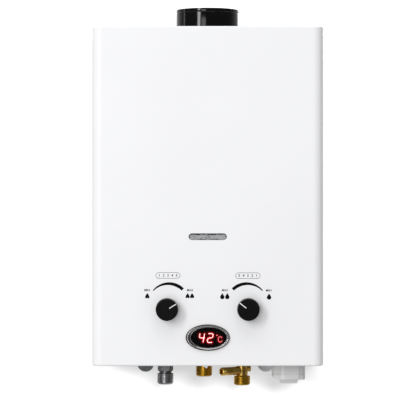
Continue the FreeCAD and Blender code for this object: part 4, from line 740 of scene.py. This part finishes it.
GAS_POINTER_DEG, WATER_POINTER_DEG = -58.0, 52.0  # from upright, anticlockwise seen from the front
pointer("gas_pointer_line", "gas_control", "gas_pointer", -KNOB_X, GAS_POINTER_DEG)
pointer("water_pointer_line", "water_control", "water_pointer", KNOB_X, WATER_POINTER_DEG)


# ---- turned and threaded fittings ----
THREAD_R = 10.4775  # 1/2 inch pipe thread over the crests
THREAD_PITCH = 1.814
THREAD_DEPTH = 0.42
THREAD_CREST, THREAD_FLANK = 0.42, 0.5  # shares of half a pitch
ROUND = 96  # steps round a turned piece, a multiple of 12 so that hexagon corners fall on it
CORNER_ROWS, CORNER_STEP, CORNER_SLOPE = 7, 0.3, 1.1  # how a hexagon's corners are turned off
BORE_R = 7.0
PIPE_R = 6.0

GAS_X, GAS_END, GAS_THREAD = -54.1, -240.4, 14.0
GAS_NECK, GAS_NECK_R = 2.4, 7.9
GAS_HEX_TOP, GAS_TOP = -212.5, -170.0
GAS_HEX_AF = 17.0
GAS_PAINTED_SHADE_FROM = 13.2  # from this far up its end, the gas inlet's steel is painted darker as painted shade under the cover and the hexagon

HOT_X, HOT_END, HOT_THREAD = -4.7, -230.1, 16.0
HOT_NECK_R = THREAD_R - 0.8
HOT_FLANGE, HOT_FLANGE_R = 7.0, 12.4
HOT_PIPE_END = -206.0

COLD_X, COLD_END, COLD_THREAD_TOP, COLD_TOP = 43.9, -241.4, -229.6, -175.0
COLUMN_R, COLUMN_BORE_R = 7.4, 5.4
DRAIN_Z, DRAIN_DEG = -223.0, 38.0  # the drain spout turns this far to the front from straight left
SIDE_BOSS_Z = -218.3


def turned(bm, x, y, rings, steps=ROUND, hollow=True):
    """A closed turned body about the upright line through (x, y), in millimetres: rings of (z, r), where r is
    a number or a function of the angle. A hollow one goes up the outside and down the bore."""
    loops = []
    for z, r in rings:
        loop = []
        for k in range(steps):
            angle = 2 * math.pi * k / steps
            radius = r(angle) if callable(r) else r
            loop.append(point(bm, x + radius * math.cos(angle), y + radius * math.sin(angle), z))
        loops.append(loop)
    skin(bm, loops + loops[:1] if hollow else loops, capped=not hollow)


def thread_rows(z0, z1, lead, top_lead, per_turn=10):
    """The rings of a right-hand thread from z0 up to z1, chamfered at both ends."""
    count = round((z1 - z0) / THREAD_PITCH * per_turn)
    rows = []
    for i in range(count + 1):
        z = z0 + (z1 - z0) * i / count
        limit = min(THREAD_R - lead + (z - z0), THREAD_R - top_lead + (z1 - z))

        def radius(angle, z=z, limit=limit):
            turn = z / THREAD_PITCH - angle / (2 * math.pi)
            off_crest = abs(2 * (turn - math.floor(turn)) - 1) - THREAD_CREST
            w = min(1.0, max(0.0, off_crest / THREAD_FLANK))
            return min(THREAD_R - THREAD_DEPTH * w * w * (3 - 2 * w), limit)

        rows.append((z, radius))
    return rows


def hex_rows(across_flats, z0, z1, bottom_r, top_r):
    """The rings of a hexagon between z0 and z1, its corners turned off at both ends."""
    apothem = across_flats / 2
    sixth = math.pi / 3

    def at(limit):
        return lambda angle: min(apothem / math.cos(angle % sixth - sixth / 2), limit)

    lifts = [CORNER_STEP * i for i in range(CORNER_ROWS)]
    rows = [(z0 + lift, at(bottom_r + lift * CORNER_SLOPE)) for lift in lifts]
    return rows + [(z1 - lift, at(top_r + lift * CORNER_SLOPE)) for lift in lifts[::-1]]


def mouth(end):
    """The rings of a bore's countersunk end."""
    return [(end + 0.7, BORE_R), (end, BORE_R + 0.5)]


def gas_inlet():
    """A steel nipple: its neck and hexagon are painted darker than its bright thread, as painted shade."""
    end, thread_top = GAS_END, GAS_END + GAS_THREAD
    neck_top = thread_top + GAS_NECK
    bm = bmesh.new()
    rings = mouth(end) + thread_rows(end, thread_top, 2.0, 1.12)
    rings += [(thread_top, GAS_NECK_R), (neck_top, GAS_NECK_R)]
    rings += hex_rows(GAS_HEX_AF, neck_top, GAS_HEX_TOP, 8.3, 9.3)
    rings += [(GAS_HEX_TOP, 9.0), (GAS_TOP, 9.0), (GAS_TOP, BORE_R)]
    turned(bm, GAS_X, CORE_Y, rings)
    # painted shade: the neck and hexagon take the darker steel
    for face in bm.faces:
        face.material_index = int(face.calc_center_median().z > (end + GAS_PAINTED_SHADE_FROM) * MM)
    add_piece("gas_inlet_threaded", bm, "grey_steel", also=["steel_painted_shade"], stands_for=["gas_inlet_nipple"])


def hot_outlet():
    """A brass nipple with a hexagonal flange on the bottom panel; its brass is yellower below the panel."""
    end, thread_top, flange_top = HOT_END, HOT_END + HOT_THREAD, PANEL_TOP + HOT_FLANGE
    bm = bmesh.new()
    rings = mouth(end) + thread_rows(end, thread_top, 1.6, 0.8)
    rings += [(thread_top, HOT_NECK_R), (PANEL_TOP, HOT_NECK_R)]
    rings += hex_rows(2 * THREAD_R + 4, PANEL_TOP, flange_top, HOT_FLANGE_R, HOT_FLANGE_R)
    rings += [(flange_top, PIPE_R), (HOT_PIPE_END, PIPE_R), (HOT_PIPE_END, BORE_R)]
    turned(bm, HOT_X, CORE_Y, rings)
    for face in bm.faces:
        face.material_index = int(face.calc_center_median().z < PANEL_TOP * MM)
    add_piece("hot_outlet_threaded", bm, "brass", also=["brass_thread"], stands_for=["hot_outlet_nipple"])


def shape_of(bm, matrix=None):
    """A plain temporary object made from a bmesh."""
    bmesh.ops.recalc_face_normals(bm, faces=bm.faces)
    mesh = bpy.data.meshes.new("part")
    bm.to_mesh(mesh)
    bm.free()
    if matrix:
        mesh.transform(matrix)
    part = bpy.data.objects.new("part", mesh)
    bpy.context.scene.collection.objects.link(part)
    return part


def combined(whole, others):
    """A bmesh of whole with each (operation, object) of others applied to it; the objects are removed."""
    for operation, other in others:
        step = whole.modifiers.new("step", "BOOLEAN")
        step.operation, step.solver, step.object = operation, "EXACT", other
    depsgraph = bpy.context.evaluated_depsgraph_get()
    mesh = bpy.data.meshes.new_from_object(whole.evaluated_get(depsgraph))
    for part in [whole] + [other for _, other in others]:
        old = part.data
        bpy.data.objects.remove(part)
        bpy.data.meshes.remove(old)
    bm = bmesh.new()
    bm.from_mesh(mesh)
    bpy.data.meshes.remove(mesh)
    bmesh.ops.remove_doubles(bm, verts=bm.verts, dist=1e-6)
    return bm


def turned_solid(rings, steps=48, matrix=None):
    """A closed turned body about the z axis from (z, r) rings, with both ends closed by a face."""
    bm = bmesh.new()
    turned(bm, 0, 0, rings, steps, hollow=False)
    return shape_of(bm, matrix)


def cold_inlet():
    """The threaded inlet column with its side boss and the drain spout; the thread's brass is yellower."""
    bm = bmesh.new()
    rings = thread_rows(COLD_END, COLD_THREAD_TOP, 1.6, 1.12)
    rings += [(COLD_THREAD_TOP, 7.9), (COLD_THREAD_TOP + 0.5, COLUMN_R), (COLD_TOP, COLUMN_R)]
    turned(bm, COLD_X, CORE_Y, rings, hollow=False)
    column = shape_of(bm)

    def upright(z):
        return Matrix.Translation((COLD_X * MM, CORE_Y * MM, z * MM))

    along = Vector((-math.cos(math.radians(DRAIN_DEG)), -math.sin(math.radians(DRAIN_DEG)), 0))
    drain_line = upright(DRAIN_Z) @ along.to_track_quat("Z", "Y").to_matrix().to_4x4()
    boss_line = upright(SIDE_BOSS_Z) @ Matrix.Rotation(math.pi / 2, 4, "Y")
    bore_line = upright(0)
    spout_rings = [(2, 4.6), (6.6, 6.0), (7.6, 5.7), (8.8, 5.4), (10.2, 5.25), (30.2, 5.25), (30.4, 5.0),
                   (30.8, 5.0), (31.0, 5.25), (33.0, 5.25), (34, 4.25)]
    spout = turned_solid(spout_rings, matrix=drain_line)
    boss = turned_solid([(2, 5.6), (6.4, 7.0), (7.4, 6.4), (8.6, 6.0), (10.8, 6.0), (11.4, 5.4)],
                        matrix=boss_line)
    inlet_bore = [(COLD_END - 1.0, BORE_R + 1.2), (COLD_END, BORE_R + 0.7), (COLD_END + 0.7, BORE_R),
                  (COLD_THREAD_TOP, BORE_R)]
    column_bore = [(COLD_THREAD_TOP - 1, COLUMN_BORE_R), (COLD_TOP + 1, COLUMN_BORE_R)]
    bores = [
        turned_solid(inlet_bore, matrix=bore_line),
        turned_solid(column_bore, matrix=bore_line),
        turned_solid([(0, 1.8), (11, 1.8)], 24, drain_line),
        turned_solid([(10, 3.2), (33.6, 3.2), (35, 4.6)], matrix=drain_line),
        turned_solid([(9.0, 2.2), (10.9, 2.2), (12.0, 3.3)], 24, boss_line),
    ]
    bm = combined(column, [("UNION", boss), ("UNION", spout)] + [("DIFFERENCE", bore) for bore in bores])
    for face in bm.faces:
        face.material_index = int(face.calc_center_median().z < COLD_THREAD_TOP * MM)
    add_piece("cold_inlet_threaded", bm, "brass", also=["brass_thread"], stands_for=["cold_inlet_tee"])


gas_inlet()
hot_outlet()
cold_inlet()


# ---- flue collar ----
def flue_collar():
    """The enamelled collar: a rolled bead under its rim, a straight wall and a flange under the cover."""
    rings = [(206.0, 38.8), (206.0, 50.0), (206.3, 50.0), (206.9, 49.9), (207.2, 49.6), (207.2, 41.6),
             (207.5, 40.6), (208.2, 40.0)]
    rings += [(232.8, 40.0), (233.1, 39.93), (233.5, 39.78), (233.9, 39.93), (234.2, 40.0)]
    rings += [(237.4, 40.0), (237.8, 39.87), (238.0, 39.55), (238.0, 39.2), (237.85, 38.9), (237.5, 38.8)]
    rings += [(234.2, 38.8), (233.5, 38.6), (232.8, 38.8)]
    bm = bmesh.new()
    turned(bm, 0.0, CORE_Y, rings, steps=192)
    add_piece("flue_collar_rolled", bm, "black_enamel", stands_for=["flue_collar"])


flue_collar()


# ---- screws and springs ----
# The head's section in shares of its height and radius, and the turns of the cross's two arms.
SCREW_DOME = ((1.0, 0.5), (0.96, 0.68), (0.82, 0.86), (0.55, 0.97), (0.3, 1.0), (0.0, 1.0))
SCREW_CROSS = (math.radians(20), math.radians(110))


def screws(name, node, head_r, head_t, shank_r, length, places):
    """Pan-head screws with a cross recess, one at each (seat, direction of the shank)."""
    rings = [(-head_t * t, head_r * r) for t, r in SCREW_DOME]
    rings += [(0, shank_r), (length - shank_r * 0.5, shank_r), (length, shank_r * 0.55)]
    tools = []
    for turn in SCREW_CROSS:
        arm = bmesh.new()
        bmesh.ops.create_cube(arm, size=1.0)
        tip = Matrix.Diagonal((head_r * 1.15 * MM, head_r * 0.24 * MM, head_t * 1.2 * MM, 1))
        arm.transform(Matrix.Translation((0, 0, -head_t * MM)) @ Matrix.Rotation(turn, 4, "Z") @ tip)
        tools.append(("DIFFERENCE", shape_of(arm)))
    single = combined(turned_solid(rings), tools)
    pattern = bpy.data.meshes.new("screw")
    single.to_mesh(pattern)
    single.free()
    bm = bmesh.new()
    for seat, direction in places:
        placed = pattern.copy()
        placed.transform(Matrix.Translation(Vector(seat) * MM)
                         @ Vector(direction).to_track_quat("Z", "Y").to_matrix().to_4x4())
        bm.from_mesh(placed)
        bpy.data.meshes.remove(placed)
    bpy.data.meshes.remove(pattern)
    add_piece(name, bm, "zinc_screw", stands_for=[node])


COLLAR_SCREW_R = 45.0  # radius of the circle that they stand on
COLLAR_FLANGE_TOP = 207.2
flange_seats = [((x, y, BOTTOM), (0, 0, 1)) for x in (-139.0, 139.0) for y in (-80.0, -25.0)]
side_seats = [((side * 145.0, -7.5, 192.0), (-side, 0, 0)) for side in (-1, 1)]
chassis_seats = [((x, -2.4, -204.5), (0, 1, 0)) for x in (-112.0, -40.0, 40.0, 66.0)]
collar_turns = [math.radians(45 + 90 * k) for k in range(4)]
collar_seats = [((COLLAR_SCREW_R * math.cos(t), CORE_Y + COLLAR_SCREW_R * math.sin(t), COLLAR_FLANGE_TOP),
                 (0, 0, -1)) for t in collar_turns]
screws("cover_screws_cross", "cover_screws", 3.4, 1.8, 1.9, 5.0, flange_seats + side_seats)
screws("chassis_screws_cross", "chassis_screws", 3.4, 1.8, 1.8, 2.2, chassis_seats)
screws("collar_screws_cross", "collar_screws", 2.8, 1.5, 1.6, 4.5, collar_seats)

WIRE_STEPS, WIRE_SIDES = 30, 10  # steps to a turn, and sides of the wire


def spring(name, node, moving, fixed, mean_r, wire_r, turns):
    """A coil spring with closed ends, wound from its moving end to its fixed one."""
    start, end = Vector(moving), Vector(fixed)
    length, along = (end - start).length, (end - start).normalized()
    across = along.orthogonal().normalized()
    other = along.cross(across)
    closed, tight = 0.9, 2.05 * wire_r  # closed turns at each end, and their pitch
    free = (length - 2 * wire_r - 2 * closed * tight) / (turns - 2 * closed)

    def reach(n):
        """How far along the spring its wire is after n turns."""
        if n < closed:
            return wire_r + n * tight
        if n > turns - closed:
            return length - wire_r - (turns - n) * tight
        return wire_r + closed * tight + (n - closed) * free

    bm = bmesh.new()
    loops = []
    for i in range(turns * WIRE_STEPS + 1):
        n = i / WIRE_STEPS
        out = across * math.cos(2 * math.pi * n) + other * math.sin(2 * math.pi * n)
        centre = start + along * reach(n) + out * mean_r
        loops.append([bm.verts.new((centre + (out * math.cos(t) + along * math.sin(t)) * wire_r) * MM)
                      for t in (2 * math.pi * k / WIRE_SIDES for k in range(WIRE_SIDES))])
    skin(bm, loops)
    piece = add_piece(name, bm, "spring_steel", stands_for=[node], sharp_deg=60.0)
    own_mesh(piece)


spring("poppet_spring_coil", "poppet_spring", moving=(-32.9, CORE_Y, -150.0),
       fixed=(-60.0, CORE_Y, -150.0), mean_r=4.6, wire_r=0.5, turns=7)
spring("relief_spring_coil", "relief_spring", moving=(34.2075, -69.5726, DRAIN_Z),
       fixed=(23.4117, -78.0072, DRAIN_Z), mean_r=2.1, wire_r=0.35, turns=6)


# ---- the battery box's moulded front ----
PAINTED_HIGHLIGHT_FACES = 4  # the first faces of the section, its left round, painted paler as a painted highlight


def front_panel(name, body, z0, z1):
    """A raised panel on the box's front: its left edge is a wide round with a painted highlight, its right
    one a short step.
    """
    section = [(93.2, -83.95), (93.6, -84.7), (94.5, -85.5), (95.7, -86.0), (97.0, -86.2), (115.2, -86.2),
               (116.1, -85.9), (116.4, -85.3), (116.4, -83.95)]
    bm = bmesh.new()
    skin(bm, [[point(bm, x, y, z) for x, y in section] for z in (z0, z1)])
    for i, face in enumerate(bm.faces):
        face.material_index = int(i < PAINTED_HIGHLIGHT_FACES)
    add_piece(name, bm, "light_plastic", also=["painted_highlight_edge"], body=body)


BOX_FRONT_BOTTOM, BOX_FRONT_TOP = -226.1, -213.8
LID_FRONT_BOTTOM, LID_FRONT_TOP = -232.8, -226.2
front_panel("battery_box_front", "heater", BOX_FRONT_BOTTOM, BOX_FRONT_TOP)
front_panel("battery_lid_front", "battery_door", LID_FRONT_BOTTOM, LID_FRONT_TOP)


# ---- backdrop, lamps and camera, in metres ----
GLOW_FROM, GLOW_TO = -1.15, -0.7  # heights between which the backdrop's glow changes
FLOOR_GLOW, WALL_GLOW = 0.98, 0.585


def backdrop_paint():
    """A dull grey with a glow that makes it pale, stronger towards the floor. It is clear from behind."""
    made = bpy.data.materials.new("backdrop_paint")
    nodes = Nodes(made)
    place = nodes.node("ShaderNodeTexCoord").outputs["Object"]
    height = nodes.node("ShaderNodeSeparateXYZ", {0: place}).outputs["Z"]
    level = nodes.remap(height, GLOW_FROM, GLOW_TO, FLOOR_GLOW, WALL_GLOW, "LINEAR")
    paint = nodes.node("ShaderNodeBsdfDiffuse", {"Color": (0.15, 0.15, 0.151, 1)}).outputs[0]
    shine = nodes.node("ShaderNodeEmission", {"Strength": level}).outputs[0]
    both = nodes.node("ShaderNodeAddShader", {0: paint, 1: shine}).outputs[0]
    clear = nodes.node("ShaderNodeBsdfTransparent").outputs[0]
    behind = nodes.node("ShaderNodeNewGeometry").outputs["Backfacing"]
    pick = nodes.node("ShaderNodeMixShader", {0: behind, 1: both, 2: clear}).outputs[0]
    nodes.node("ShaderNodeOutputMaterial", {"Surface": pick})
    return made


def backdrop():
    """A pale wall that curves into a pale floor. It is seen from its front only and blocks no light."""
    bm = bmesh.new()
    wall_y, wall_top, floor_z, floor_end, bend, half, steps = 0.002, 4.0, -1.2, -8.0, 0.4, 6.0, 12
    line = [(wall_y, wall_top)]
    line += [(wall_y - bend + bend * math.cos(t), floor_z + bend - bend * math.sin(t))
             for t in (math.radians(90 * i / steps) for i in range(steps + 1))]
    line.append((floor_end, floor_z))
    rows = [[bm.verts.new((x, y, z)) for x in (-half, half)] for y, z in line]
    for (a, b), (c, d) in zip(rows, rows[1:]):
        bm.faces.new((a, c, d, b))  # its front is towards the object
    mesh = bpy.data.meshes.new("backdrop")
    bm.to_mesh(mesh)
    bm.free()
    for face in mesh.polygons:
        face.use_smooth = True
    stage = bpy.data.objects.new("backdrop", mesh)
    bpy.context.scene.collection.objects.link(stage)
    mesh.materials.append(backdrop_paint())
    stage.visible_diffuse = stage.visible_glossy = stage.visible_transmission = False
    stage.visible_shadow = stage.visible_volume_scatter = False
    return stage


def lamp(name, at, aim, size, power, only=None, never=None):
    """A rectangular soft lamp at a point, aimed at another. It can light one object only, or never one."""
    data = bpy.data.lights.new(name, "AREA")
    data.shape = "RECTANGLE"
    data.size, data.size_y = size
    data.energy = power
    made = bpy.data.objects.new(name, data)
    bpy.context.scene.collection.objects.link(made)
    made.location = at
    made.rotation_euler = (Vector(aim) - Vector(at)).to_track_quat("-Z", "Y").to_euler()
    if only or never:
        group = bpy.data.collections.new(name + "_targets")
        group.objects.link(only or never)
        made.light_linking.receiver_collection = group
        if never:
            group.collection_objects[0].light_linking.link_state = "EXCLUDE"


ROOM = 0.09  # how bright the studio behind the camera is in reflections
WALL_SEEN = (-0.1, 1.2, ROOM, 1.0)  # the directions' Y where the room turns into the wall, and the change
FLOOR_SEEN = (-0.25, -0.85, ROOM, 0.5)  # the same for their Z and the floor
FILL = 0.47  # even light from all round


def world():
    """White to the camera, an even fill, and in reflections a dim room with a white wall and a pale floor."""
    made = bpy.data.worlds.new("studio")
    bpy.context.scene.world = made
    nodes = Nodes(made)
    ray = nodes.node("ShaderNodeLightPath").outputs
    place = nodes.node("ShaderNodeTexCoord").outputs["Generated"]
    _, y, z = nodes.node("ShaderNodeSeparateXYZ", {0: place}).outputs
    room = nodes.sum(nodes.remap(y, *WALL_SEEN), nodes.remap(z, *FLOOR_SEEN), "MAXIMUM")
    level = FILL
    for kind, seen in (("Is Glossy Ray", room), ("Is Transmission Ray", room), ("Is Camera Ray", 1.0)):
        level = nodes.node("ShaderNodeMix", {0: ray[kind], 2: level, 3: seen}, data_type="FLOAT").outputs[0]
    light = nodes.node("ShaderNodeBackground", {"Color": (1, 1, 1, 1), "Strength": level}).outputs[0]
    nodes.node("ShaderNodeOutputWorld", {"Surface": light})
    made.cycles.sampling_method = "NONE"


world()
wall = backdrop()
# Each lamp's name, place, aim, size and power in watts.
LAMPS = [
    ("key", (-2.5, -4.0, 1.5), (0, -0.1, 0.0), (0.85, 2.6), 79.5),
    ("front_panel", (-0.95, -3.6, -0.25), (0, -0.1, -0.1), (1.0, 2.8), 29.0),
    ("top", (-0.2, -0.9, 2.4), (0, -0.06, 0.1), (3.0, 2.4), 29.0),
    ("left_strip", (-3.2, 0.28, 0.1), (0, -0.06, 0), (0.32, 2.4), 4.4),
    ("rear", (0.9, 3.0, 1.2), (0, 0, 0), (1.4, 1.4), 44.0),
]
for lighting in LAMPS:
    lamp(*lighting, never=wall)
# Where either of these two reaches the wall it is white, so the shadow is where both are blocked.
lamp("wall_wash_left", (-4.0, -5.8, 1.2), (0, 0, -0.25), (2.4, 1.7), 1450.0, only=wall)
lamp("wall_wash_right", (1.1, -6.0, 1.2), (0, 0, -0.25), (2.0, 1.7), 960.0, only=wall)

camera = bpy.data.cameras.new("view")
camera.lens, camera.sensor_width = LENS_MM, 36.0
camera.clip_start, camera.clip_end = 0.1, 60.0
viewer = bpy.data.objects.new("view", camera)
bpy.context.scene.collection.objects.link(viewer)
viewer.location = CAMERA
viewer.rotation_euler = (math.pi / 2, 0, 0)
bpy.context.scene.camera = viewer
bpy.context.scene.view_settings.view_transform = "Standard"
